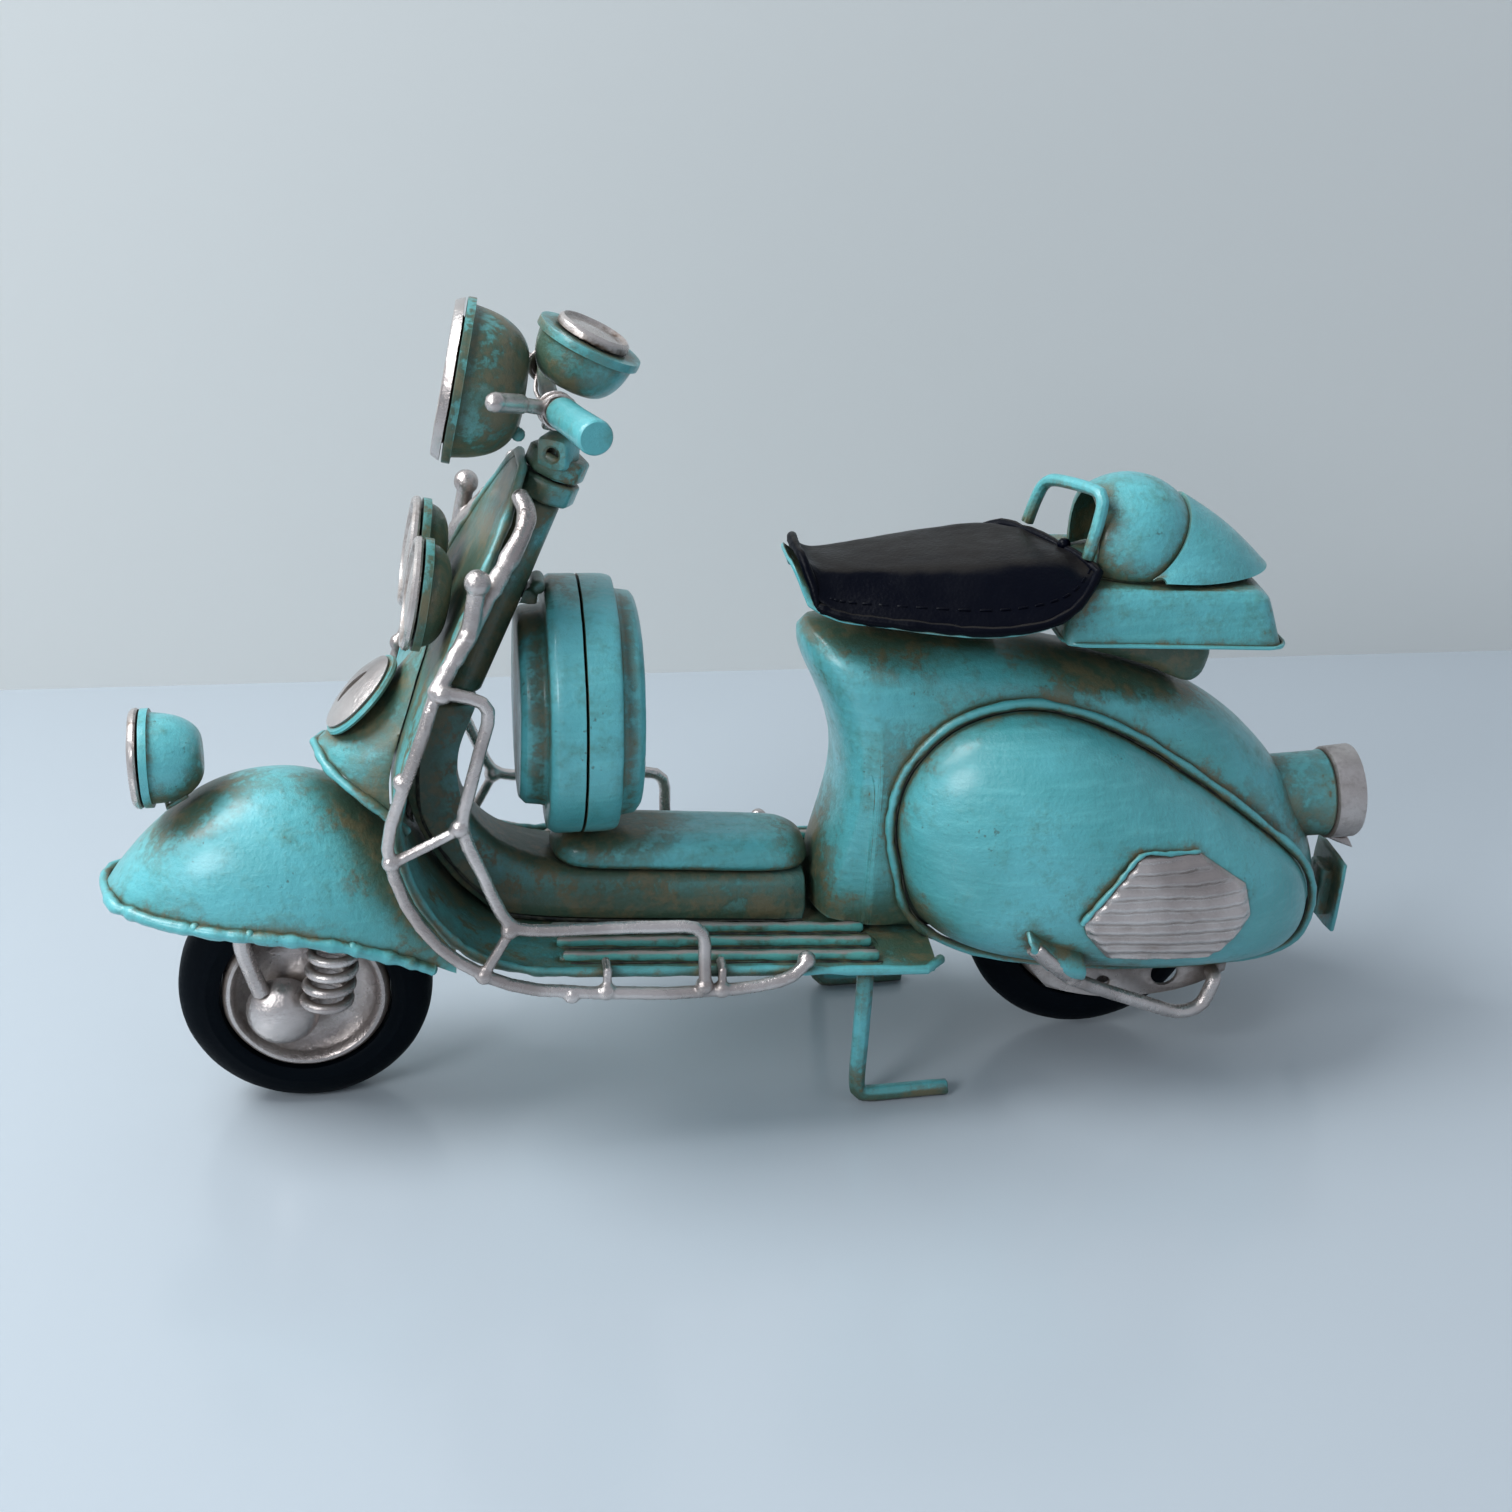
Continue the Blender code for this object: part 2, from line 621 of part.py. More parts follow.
def handlebar(steering):
    left = rounded_path(bar_path(-1), 3.0)
    right = rounded_path(bar_path(1), 3.0)
    add_object("handlebar", rod_mesh(left[::-1] + right[1:], 1.25, 8), "turquoise", steering)


def grips_and_levers(steering):
    for side, sign in (("left", -1), ("right", 1)):
        start = Vector(bar_path(sign)[2])
        end = Vector(bar_path(sign)[3])
        along = (end - start).normalized()
        grip = [(3.2, 1.55), (3.2, 2.0), (3.6, 2.2), (16.0, 2.9), (16.6, 2.7), (16.6, 0.0), (15.9, 0.0),
                (15.9, 1.55)]
        add_object("grip_" + side, turned_mesh(grip, start, along, 16), "turquoise", steering)
        collar = [(1.0, 1.55), (1.0, 2.1), (2.6, 2.1), (2.6, 1.55)]
        lever = add_object("brake_lever_" + side, turned_mesh(collar, start, along, 12), "silver", steering)
        blade = rounded_path([(-28.9, 11.2 * sign, 111.7), (-32.0, 13.2 * sign, 112.7),
                              (-35.4, 18.0 * sign, 114.2)], 2.0)
        fuse(lever, add_object("lever_blade_" + side, rod_mesh(blade, 1.0, 8), "silver", steering))


def fork(steering):
    """One-sided fork: a bent arm from the shaft over the tyre and down to the hub cover."""
    y = -6.8
    arm_path = rounded_path([(-47.9, 0.0, 39.4), (-51.5, y, 39.4), (-68.3, y, 39.2), (-69.0, y, 29.0),
                             (-66.0, y - 0.2, 20.6)], 2.4)
    arm = add_object("fork", rod_mesh(arm_path, 1.3, 8), "silver", steering)
    hub = Vector((-63.0, -5.15, 16.9))
    dome = [(0.0, 0.0), (0.0, 5.2)]
    for k in range(1, 6):
        angle = 0.5 * math.pi * k / 6
        dome.append((3.8 * math.sin(angle), 5.2 * math.cos(angle)))
    dome.append((3.8, 0.0))
    fuse(arm, add_object("hub_cover", turned_mesh(dome, hub, (0, -1, 0), 16), "silver", steering))


def front_spring(steering):
    foot = Vector((-56.7, -9.6, 20.2))
    head = Vector((-54.9, -9.2, 35.2))
    axis = (head - foot).normalized()
    side = Vector((0, 1, 0))
    other = axis.cross(side)
    turns, steps = 6, 10
    path = []
    for k in range(turns * steps + 1):
        angle = 2 * math.pi * k / steps
        rise = (head - foot).length * k / (turns * steps)
        path.append(foot + axis * rise + (side * math.cos(angle) + other * math.sin(angle)) * 2.95)
    add_object("front_spring", rod_mesh(path, 0.7, 5), "silver", steering)


# ---------------------------------------------------------------- crash bars

def guard_rail():
    """Middle of the left guard's main wire, from the head of the shield down and back to the floor."""
    return smooth_curve([(-31.4, -8.4, 98.7), (-30.5, -10.4, 97.0), (-31.2, -12.8, 94.7), (-33.6, -15.9, 91.0),
                         (-35.8, -18.2, 87.8), (-38.0, -20.7, 83.8), (-40.5, -22.9, 80.0),
                         (-42.4, -24.4, 76.4), (-44.0, -25.0, 71.0), (-46.9, -25.0, 61.3),
                         (-48.4, -25.0, 53.8), (-45.8, -25.0, 45.4), (-41.3, -25.0, 38.9),
                         (-34.6, -25.0, 34.0), (-27.0, -24.8, 31.7), (-12.9, -24.8, 31.0),
                         (-3.7, -24.8, 31.3), (4.4, -24.7, 32.0), (9.2, -24.2, 33.4),
                         (11.2, -22.9, 35.4)], 2)


def crash_bars(frame):
    """Bent wire guards round the edge of the shield and floor, each soldered up from several wires."""
    loop = rounded_path([(-41.4, -25.0, 76.8), (-35.0, -25.0, 75.6), (-38.9, -25.0, 57.0),
                         (-31.6, -25.0, 41.2), (-4.4, -25.0, 42.0), (-3.7, -25.0, 33.1)], 3.0)
    wires = [("upper_brace", 0.7, [(-47.9, -25.0, 51.6), (-37.9, -25.0, 57.4)]),
             ("lower_brace", 0.7, [(-34.9, -25.0, 34.2), (-31.2, -25.0, 41.8)]),
             ("front_post", 0.6, [(-17.6, -24.8, 31.0), (-17.6, -24.2, 34.5), (-17.6, -21.4, 34.5)]),
             ("rear_post", 0.6, [(-1.2, -24.8, 31.4), (-1.2, -24.2, 34.5), (-1.2, -21.4, 34.5)]),
             ("knob_post", 0.75, [(-38.7, -20.9, 82.9), (-37.4, -20.7, 90.0)])]
    for side, sign in (("left", 1), ("right", -1)):
        guard = add_object("crash_bar_" + side, rod_mesh(across(guard_rail(), sign), WIRE_RADIUS, 6),
                           "silver", frame)
        loop_rod = rod_mesh(across(loop, sign), WIRE_RADIUS, 6)
        fuse(guard, add_object("guard_loop_" + side, loop_rod, "silver", frame))
        for name, radius, points in wires:
            rod = rod_mesh(across(points, sign), radius, 5)
            fuse(guard, add_object(f"{name}_{side}", rod, "silver", frame))
        ball = [(-1.3, 0.0), (-1.0, 0.9), (0.0, 1.3), (1.0, 0.9), (1.3, 0.0)]
        knob = turned_mesh(ball, (-37.3, -20.7 * sign, 90.6), (0.0, 0.0, 1.0), 8)
        fuse(guard, add_object("guard_knob_" + side, knob, "silver", frame))


def across(points, sign):
    """The points as drawn for the left side, or mirrored to the right for sign -1."""
    return [(point[0], point[1] * sign, point[2]) for point in points]


# ---------------------------------------------------------------- spare wheel cover

def spare_cover(frame):
    """Two pressed half shells that meet in a seam, hung on the column."""
    lean = math.radians(-2.5)
    axis = Vector((math.cos(lean), 0.0, -math.sin(lean)))
    centre = Vector((-21.4, 0.0, 64.8))
    wall = 0.8
    front = [(-0.15, 18.8), (-3.9, 18.8), (-4.9, 18.1), (-5.1, 14.7), (-7.9, 14.4), (-8.8, 13.4), (-8.8, 0.0),
             (-8.8 + wall, 0.0), (-8.8 + wall, 13.2), (-5.1 + wall, 14.0), (-4.1, 17.8), (-0.15, 18.0)]
    back = [(0.15, 18.0), (4.1, 17.9), (4.5, 15.7), (8.4 - wall, 14.6), (8.4 - wall, 0.0),
            (8.4, 0.0), (8.4, 15.2), (7.6, 16.2), (5.4, 16.5), (5.0, 18.3), (4.0, 18.8), (0.15, 18.8)]
    add_object("spare_cover_front", turned_mesh(front, centre, axis, WHEEL_ROUND), "turquoise", frame)
    add_object("spare_cover_back", turned_mesh(back, centre, axis, WHEEL_ROUND), "turquoise", frame)
    strap = block_mesh([(-33.0, 80.8), (-28.0, 80.4), (-27.8, 82.4), (-32.4, 83.0)], -1.7, 1.7)
    bracket = add_object("spare_bracket", strap, "turquoise", frame, smooth=20.0)
    cut(bracket, shaft_clearance(frame, "bracket_bore", COLUMN_RADIUS + GAP, 10.0))
    pin = [(-2.8, 0.0), (-2.8, 0.6), (-2.2, 1.0), (2.2, 1.0), (2.8, 0.6), (2.8, 0.0)]
    fuse(bracket, add_object("spare_pin", turned_mesh(pin, (-27.9, 0.0, 83.2), (0.0, 1.0, 0.0), 12),
                             "turquoise", frame))


# ---------------------------------------------------------------- rear body, cowls and what hangs on them

def body_lines():
    ridge = smooth_curve([(14.4, 34.6, 0), (14.3, 41.0, 0), (16.6, 51.0, 0), (16.3, 60.0, 0), (12.8, 68.8, 0),
                          (9.6, 75.0, 0), (10.6, 78.6, 0), (17.5, 78.6, 0), (40.0, 77.0, 0), (56.0, 74.6, 0),
                          (71.0, 69.6, 0), (82.4, 61.4, 0), (90.0, 51.6, 0), (94.6, 41.8, 0),
                          (95.6, 33.2, 0)], 2)
    edge = smooth_curve([(18.0, 10.2, 34.6), (19.0, 10.6, 41.0), (21.0, 11.2, 51.0), (21.4, 11.6, 60.0),
                         (21.8, 11.8, 66.0), (22.4, 12.0, 69.0), (24.0, 12.0, 70.6), (30.0, 12.0, 70.2),
                         (42.0, 12.0, 69.4), (55.0, 12.0, 67.0), (67.5, 12.0, 61.6), (77.0, 11.6, 54.4),
                         (83.6, 10.8, 46.6), (87.6, 9.8, 39.4), (89.0, 9.2, 33.2)], 2)
    return [(p.x, p.y) for p in ridge], [tuple(p) for p in edge]


def rear_body(frame):
    """Monocoque tail: crowned along its back, with flat flanks behind the side cowls."""
    ridge, edge = body_lines()
    arc_steps = 4
    bm = bmesh.new()
    rows = []
    for (rx, rz), (ex, ew, ez) in zip(ridge, edge):
        row = []
        for k in range(-arc_steps, arc_steps + 1):
            angle = 0.5 * math.pi * k / arc_steps
            drop = 1 - math.cos(angle)
            row.append(bm.verts.new((rx + (ex - rx) * drop, ew * math.sin(angle), rz + (ez - rz) * drop)))
        rows.append(row)
    join_rings(bm, rows, closed=False)
    for column_index, sign in ((0, -1), (-1, 1)):
        flank = []
        for row, (ex, ew, _) in zip(rows[1:-1], edge[1:-1]):
            floor = 34.6 - 1.4 * max(0.0, (ex - 60.0) / 30.0)
            flank.append((row[column_index], bm.verts.new((ex, ew * sign, floor))))
        first, last = rows[0][column_index], rows[-1][column_index]
        bm.faces.new((first, flank[0][0], flank[0][1]))
        for (top_a, low_a), (top_b, low_b) in zip(flank, flank[1:]):
            bm.faces.new((top_a, top_b, low_b, low_a))
        bm.faces.new((flank[-1][0], last, flank[-1][1]))
    body = add_object("rear_body", bm, "turquoise", frame)
    thicken(body, SHEET, (0.0, 0.0, -1.0))


def cowl_outline():
    return smooth_curve([(29.6, 36.2, 0), (26.0, 45.0, 0), (24.6, 52.6, 0), (26.2, 60.4, 0), (32.4, 67.4, 0),
                         (42.4, 70.2, 0), (54.0, 67.4, 0), (66.8, 60.4, 0), (80.0, 51.6, 0), (88.0, 45.0, 0),
                         (90.0, 37.6, 0), (86.4, 31.4, 0), (73.0, 28.9, 0), (55.0, 29.2, 0),
                         (39.4, 31.2, 0)], 2, closed=True)


COWL_CENTRE = Vector((55.0, 47.0))
COWL_ROOT = 12.4
COWL_BULGE = 13.4


def cowl_reach(angle):
    """Distance from the cowl's centre to its outline in the given direction."""
    heading = Vector((math.cos(angle), math.sin(angle)))
    line = [Vector((p.x, p.y)) - COWL_CENTRE for p in cowl_outline()]
    for a, b in zip(line, line[1:] + line[:1]):
        span = b - a
        cross = heading.x * span.y - heading.y * span.x
        if abs(cross) < 1e-9:
            continue
        along = (a.x * span.y - a.y * span.x) / cross
        share = (a.x * heading.y - a.y * heading.x) / cross
        if along > 0 and -1e-6 <= share <= 1 + 1e-6:
            return along
    raise ValueError("the outline doesn't surround its centre")


def cowl_depth(fraction):
    """How far the cowl stands out, from its centre (fraction 0) to its outline (fraction 1)."""
    return COWL_ROOT + COWL_BULGE * (1 - min(fraction, 1.0) ** 2.6) ** 0.62


def cowl(side, sign, frame):
    bm = bmesh.new()
    rings = []
    outline = [Vector((p.x, p.y)) for p in cowl_outline()]
    for fraction in (1.0, 0.97, 0.90, 0.76, 0.54, 0.28):
        ring = []
        for point in outline:
            at = COWL_CENTRE + (point - COWL_CENTRE) * fraction
            ring.append(bm.verts.new((at.x, sign * cowl_depth(fraction), at.y)))
        rings.append(ring)
    join_rings(bm, rings)
    middle = bm.verts.new((COWL_CENTRE.x, sign * cowl_depth(0.0), COWL_CENTRE.y))
    last = rings[-1]
    for k, vert in enumerate(last):
        bm.faces.new((vert, last[(k + 1) % len(last)], middle))
    shell = add_object("cowl_" + side, bm, "turquoise", frame)
    thicken(shell, 0.8, (0.0, -sign, 0.0))


def grille(side, sign, frame):
    """Ribbed vent plate that follows the swell of the cowl."""
    corners = [Vector(c) for c in ((57.5, 53.0), (67.0, 52.6), (75.0, 47.4), (76.4, 42.6), (74.6, 39.0),
                                   (71.6, 35.4), (56.0, 35.2), (51.4, 40.4), (50.4, 43.0), (54.0, 48.4))]
    centre = sum(corners, Vector((0.0, 0.0))) / len(corners)
    border = []
    for a, b in zip(corners, corners[1:] + corners[:1]):
        border += [a, (a + b) / 2]
    bm = bmesh.new()
    layers = []
    for lift in (GAP, GAP + 0.7):
        rings = []
        for fraction in (1.0, 0.66, 0.33):
            ring = []
            for corner in border:
                at = centre + (corner - centre) * fraction
                ring.append(bm.verts.new((at.x, sign * (cowl_surface(at) + lift), at.y)))
            rings.append(ring)
        join_rings(bm, rings)
        hub = bm.verts.new((centre.x, sign * (cowl_surface(centre) + lift), centre.y))
        for k, vert in enumerate(rings[-1]):
            bm.faces.new((vert, rings[-1][(k + 1) % len(border)], hub))
        layers.append(rings[0])
    join_rings(bm, layers)
    add_object("grille_" + side, bm, "silver", frame)


def cowl_surface(at):
    arm = at - COWL_CENTRE
    if arm.length < 1e-6:
        return cowl_depth(0.0)
    return cowl_depth(arm.length / cowl_reach(math.atan2(arm.y, arm.x)))


def engine_plates(frame):
    """Silver plates under the tail that carry the ends of the rear axle."""
    outline = [(47.6, 34.2), (47.8, 27.4), (51.0, 23.8), (58.0, 21.8), (66.0, 22.0), (74.0, 23.2),
               (79.4, 26.4), (79.6, 33.1), (60.0, 34.2)]
    for side, sign in (("left", -1), ("right", 1)):
        low, high = sorted((11.1 * sign, 11.9 * sign))
        plate = add_object("engine_plate_" + side, block_mesh(outline, low, high), "silver", frame)
        for number, (x, z, radius) in enumerate(((60.0, 24.6, 1.1), (69.6, 26.0, 2.2)), start=1):
            hole = [(low - 1.0, 0.0), (low - 1.0, radius), (high + 1.0, radius), (high + 1.0, 0.0)]
            punch = add_object(f"plate_hole_{side}_{number}",
                               turned_mesh(hole, (x, 0.0, z), (0, 1, 0), 12), "silver", frame)
            cut(plate, punch)


def kick_lever(kick):
    rod = rounded_path([(76.6, -12.3, 27.0), (76.8, -14.4, 26.8), (75.4, -14.6, 21.6), (71.4, -15.0, 21.0),
                        (59.0, -18.2, 26.6), (50.8, -22.0, 31.4)], 2.2)
    lever = add_object("kick_lever", rod_mesh(rod, 1.1, 8), "silver", kick)
    pedal = [(51.4, -21.6, 31.0), (48.0, -23.6, 34.0), (44.0, -24.4, 37.6)]
    fuse(lever, add_object("kick_pedal", rod_mesh(pedal, 1.6, 8, 0.5), "turquoise", kick))


def tail_light(frame):
    axis = Vector((math.cos(STANCE_PITCH), 0.0, math.sin(STANCE_PITCH)))
    face = Vector((99.4, 0.0, 51.8))
    tube = [(-13.5, 6.6), (-4.7, 6.6), (-4.7, 5.8), (-13.5, 5.8)]
    barrel = add_object("tail_light_tube", turned_mesh(tube, face, axis, ROUND), "turquoise", frame)
    slope = block_mesh([(96.0, 40.0), (94.8, 44.4), (91.4, 51.3), (84.2, 61.3), (60.0, 61.3), (60.0, 40.0)],
                       -12.0, 12.0)
    cut(barrel, add_object("tail_slope", slope, "turquoise", frame))
    band = [(-4.4, 7.2), (-4.4, 6.3), (0.0, 6.3), (0.0, 7.2)]
    add_object("tail_light_ring", turned_mesh(band, face, axis, ROUND), "silver", frame)
    lens = [(-2.4, 0.0), (-2.4, 6.0), (-1.4, 6.0), (-0.6, 3.6), (-0.4, 0.0)]
    add_object("tail_light_lens", turned_mesh(lens, face, axis, ROUND), "tail_red", frame)


def slice_off(bm, point, normal):
    """Remove what lies on the normal's side of a plane; returns the edges left open."""
    geometry = list(bm.verts) + list(bm.edges) + list(bm.faces)
    found = bmesh.ops.bisect_plane(bm, geom=geometry, plane_co=point, plane_no=normal, clear_outer=True)
    return [item for item in found["geom_cut"] if isinstance(item, bmesh.types.BMEdge)]


def number_plate(frame):
    """Blank number plate with the bracket strip it is soldered to."""
    blank = block_mesh([(98.3, 29.4), (99.1, 29.4), (99.1, 41.6), (98.3, 41.6)], -5.6, 5.6)
    plate = add_object("number_plate", blank, "turquoise", frame, smooth=20.0)
    strip = block_mesh([(96.6, 31.0), (98.6, 31.0), (98.6, 39.0), (96.6, 39.0)], -2.6, 2.6)
    fuse(plate, add_object("plate_strip", strip, "turquoise", frame, smooth=20.0))


# ---------------------------------------------------------------- seat, handle, box and helmet

def skewed(point):
    """The folded seat sits slightly askew: its left rear corner lies further back."""
    ramp = min(1.0, max(0.0, (point.x - 14.0) / 30.0))
    point.x -= 0.34 * point.y * ramp


def seat(frame):
    ridge = smooth_curve([(6.8, 89.4, 0), (12.0, 89.8, 0), (22.0, 90.3, 0), (33.0, 91.0, 0), (41.0, 91.2, 0),
                          (46.0, 90.8, 0)], 2)
    edge = smooth_curve([(10.6, 8.6, 83.0), (15.0, 11.0, 82.8), (22.5, 14.2, 83.0), (31.0, 16.6, 83.4),
                         (38.5, 15.8, 85.6), (45.6, 10.0, 90.0)], 2)
    bm = crowned_sheet([(p.x, p.y) for p in ridge], [tuple(p) for p in edge], 4)
    for vert in bm.verts:
        skewed(vert.co)
    cover = add_object("seat", bm, "seat_black", frame)
    thicken(cover, 1.0, (0.0, 0.0, -1.0))
    support = block_mesh([(17.0, 79.3), (28.0, 78.8), (40.4, 77.6), (41.0, 88.4), (17.6, 87.6)], -5.5, 5.5)
    add_object("seat_support", support, "turquoise", frame, smooth=20.0)


def grab_handle(frame):
    hoop = rounded_path([(49.0, -7.6, 91.4), (50.6, -7.4, 101.2), (45.6, 6.6, 99.0), (44.0, 6.6, 91.8)], 3.2)
    add_object("grab_handle", rod_mesh(hoop, 0.95, 10), "turquoise", frame)


def rear_box(frame):
    """Flat-bottomed case with rounded rear shoulders, on a drum-shaped stand."""
    low, high, half = 80.4, 88.4, 13.6
    bm = bmesh.new()
    rings = []
    for height, inset in ((low, 0.0), (low + 0.7, 0.5), (84.6, 1.6), (87.2, 2.6), (high, 4.4)):
        ring = []
        front, back = 45.6 + inset * 0.2, 79.0 - inset
        side = half - inset * 0.5
        for cx, cy, start in ((back - 3.0, side - 3.0, 0), (front + 2.0, side - 2.0, 90),
                              (front + 2.0, 2.0 - side, 180), (back - 3.0, 3.0 - side, 270)):
            corner = 3.0 if cx > 60 else 2.0
            for k in range(4):
                angle = math.radians(start + 30 * k)
                ring.append(bm.verts.new((cx + corner * math.cos(angle), cy + corner * math.sin(angle),
                                          height)))
        rings.append(ring)
    join_rings(bm, rings)
    bm.faces.new(rings[0])
    bm.faces.new(rings[-1])
    add_object("rear_box", bm, "turquoise", frame)
    stand = block_mesh([(50.0, 80.1), (50.0, 76.5), (56.0, 75.3), (62.0, 73.6), (68.5, 71.3), (70.6, 73.0),
                        (71.2, 77.0), (70.0, 80.1)], -5.6, 5.6)
    add_object("box_stand", stand, "turquoise", frame)


def helmet(frame):
    """Open-faced dome lying on the box with a sloping peak over its back."""
    centre = Vector((57.0, 0.0, 91.8))
    radius, wall = 10.3, 0.8
    start = -6.5
    outer, inner = [], []
    for k in range(7):
        share = k / 6
        first = math.acos(start / radius)
        angle = first * (1 - share)
        outer.append((radius * math.cos(angle), radius * math.sin(angle)))
        first = math.acos(start / (radius - wall))
        angle = first * (1 - share)
        inner.append(((radius - wall) * math.cos(angle), (radius - wall) * math.sin(angle)))
    profile = outer + inner[::-1]
    dome = add_object("helmet_dome", turned_mesh(profile, centre, (1, 0, 0), ROUND), "turquoise", frame)
    floor = add_object("helmet_floor", block_mesh([(30.0, 60.0), (95.0, 60.0), (95.0, 88.75), (30.0, 88.75)],
                                                  -20.0, 20.0), "silver", frame)
    cut(dome, floor)
    ridge = smooth_curve([(66.0, 98.6, 0), (70.4, 95.2, 0), (74.4, 92.1, 0), (78.2, 88.8, 0)], 2)
    edge = smooth_curve([(59.4, 10.9, 88.7), (66.4, 10.8, 88.7), (73.0, 8.0, 88.7), (78.4, 0.6, 88.7)], 2)
    peak = add_object("helmet_peak", crowned_sheet([(p.x, p.y) for p in ridge], [tuple(p) for p in edge], 4),
                      "turquoise", frame)
    thicken(peak, 0.6, (-0.4, 0.0, -1.0))


# ---------------------------------------------------------------- centre stand

def centre_stand(stand):
    """Bent rod: a cross bar under the floor, two legs and two feet turned back along the ground."""
    foot_height = 1.1
    heel = ground_height(STAND_PIVOT.x + 0.4) + foot_height
    toe = ground_height(STAND_PIVOT.x + 14.5) + foot_height
    half = STAND_HALF_WIDTH
    x = STAND_PIVOT.x
    path = rounded_path([(x + 14.5, -half, toe), (x + 0.4, -half, heel), (x, -half, STAND_PIVOT.z),
                         (x, half, STAND_PIVOT.z), (x + 0.4, half, heel), (x + 14.5, half, toe)], 2.6)
    bm = rod_mesh(path, STAND_ROD, 8)
    soles = slice_off(bm, GROUND_POINT, -GROUND_NORMAL)
    bmesh.ops.holes_fill(bm, edges=soles)
    add_object("centre_stand", bm, "turquoise", stand)


def ground_height(x):
    return GROUND_POINT.z + (x - GROUND_POINT.x) * math.tan(STANCE_PITCH)


def stand_clips(frame):
    """Two straps soldered under the floor, round the stand's cross bar."""
    inner = STAND_ROD + GAP
    outer = inner + 0.8
    top = FLOOR_TOP - SHEET + 0.4
    x, z = STAND_PIVOT.x, STAND_PIVOT.z
    below = [math.pi * (1 + k / 6) for k in range(7)]
    outline = [(x - outer, top)]
    outline += [(x + outer * math.cos(angle), z + outer * math.sin(angle)) for angle in below]
    outline += [(x + outer, top), (x + inner, top)]
    outline += [(x + inner * math.cos(angle), z + inner * math.sin(angle)) for angle in below[::-1]]
    outline += [(x - inner, top)]
    clips = []
    for number, (low, high) in enumerate(((-11.0, -8.0), (8.0, 11.0)), start=1):
        strap = block_mesh(outline, low, high)
        clips.append(add_object(f"stand_clip_{number}", strap, "turquoise", frame, smooth=50.0))
    return clips


# ---------------------------------------------------------------- the whole scooter

def build():
    clear_scene()
    frame = make_stance()
    steering = Pivot("steering_pivot", STEER_TOP, frame)
    front_hub = Pivot("front_wheel_pivot", FRONT_AXLE, steering)
    rear_hub = Pivot("rear_wheel_pivot", REAR_AXLE, frame)
    stand = Pivot("stand_pivot", STAND_PIVOT, frame)
    kick = Pivot("kick_pivot", KICK_PIVOT, frame)

    leg_shield(frame)
    tunnel(frame)
    tunnel_pad(frame)
    front_fender(frame)
    fender_hem(frame)
    nose_cover(frame)
    horn(frame)
    column(frame)
    crash_bars(frame)
    spare_cover(frame)
    rear_body(frame)
    for side, sign in (("left", -1), ("right", 1)):
        cowl(side, sign, frame)
        grille(side, sign, frame)
    engine_plates(frame)
    axle_rod("rear_axle", REAR_AXLE, -10.8, 10.8, frame)
    tail_light(frame)
    number_plate(frame)
    seat(frame)
    grab_handle(frame)
    rear_box(frame)
    helmet(frame)
    fender_lamp(frame)
    spot_lamps(frame)

    head_nuts(frame, steering)
    steering_shaft(steering)
    handlebar(steering)
    grips_and_levers(steering)
    headlight(steering)
    speedometer(steering)
    fork(steering)
    front_spring(steering)
    axle_rod("front_axle", FRONT_AXLE, -4.9, 5.6, steering)

    wheel("front", FRONT_AXLE, front_hub)
    wheel("rear", REAR_AXLE, rear_hub)
    centre_stand(stand)
    kick_lever(kick)


build()
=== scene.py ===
import json
import math

import bmesh
import bpy
from mathutils import Matrix, Vector, noise
from mathutils.bvhtree import BVHTree

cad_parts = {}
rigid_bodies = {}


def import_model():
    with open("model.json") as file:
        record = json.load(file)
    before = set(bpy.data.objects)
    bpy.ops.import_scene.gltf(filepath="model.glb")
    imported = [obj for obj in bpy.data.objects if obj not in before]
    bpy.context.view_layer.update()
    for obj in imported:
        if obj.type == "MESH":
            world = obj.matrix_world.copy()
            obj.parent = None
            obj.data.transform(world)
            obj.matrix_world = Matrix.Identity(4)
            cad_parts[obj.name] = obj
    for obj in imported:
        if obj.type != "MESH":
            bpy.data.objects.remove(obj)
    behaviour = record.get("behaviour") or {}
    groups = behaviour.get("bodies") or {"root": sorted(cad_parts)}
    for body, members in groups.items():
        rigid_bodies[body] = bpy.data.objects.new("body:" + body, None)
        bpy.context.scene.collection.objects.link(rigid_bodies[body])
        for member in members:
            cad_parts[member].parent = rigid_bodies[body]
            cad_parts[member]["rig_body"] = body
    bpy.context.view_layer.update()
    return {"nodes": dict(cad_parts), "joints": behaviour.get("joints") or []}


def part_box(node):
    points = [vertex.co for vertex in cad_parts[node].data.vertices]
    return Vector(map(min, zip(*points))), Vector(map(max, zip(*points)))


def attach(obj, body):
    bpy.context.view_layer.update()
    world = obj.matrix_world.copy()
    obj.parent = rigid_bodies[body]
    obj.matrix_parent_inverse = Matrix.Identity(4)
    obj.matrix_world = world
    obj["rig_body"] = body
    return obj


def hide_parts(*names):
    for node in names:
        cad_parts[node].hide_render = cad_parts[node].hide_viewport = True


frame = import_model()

MM = 0.001


def joint_place(name):
    return Vector(next(j["pos_m"] for j in frame["joints"] if j["name"] == name))


PITCH = math.radians(5.0)  # nose-up stance of the scooter on its stand
REAR_HUB = Vector((59.3, 0.0, 30.6))  # rear hub in the level drawing
LEVEL = (Matrix.Translation(joint_place("rear_wheel_spin")) @ Matrix.Rotation(PITCH, 4, "Y")
         @ Matrix.Scale(MM, 4) @ Matrix.Translation(-REAR_HUB))
UNLEVEL = LEVEL.inverted()


# ---- materials

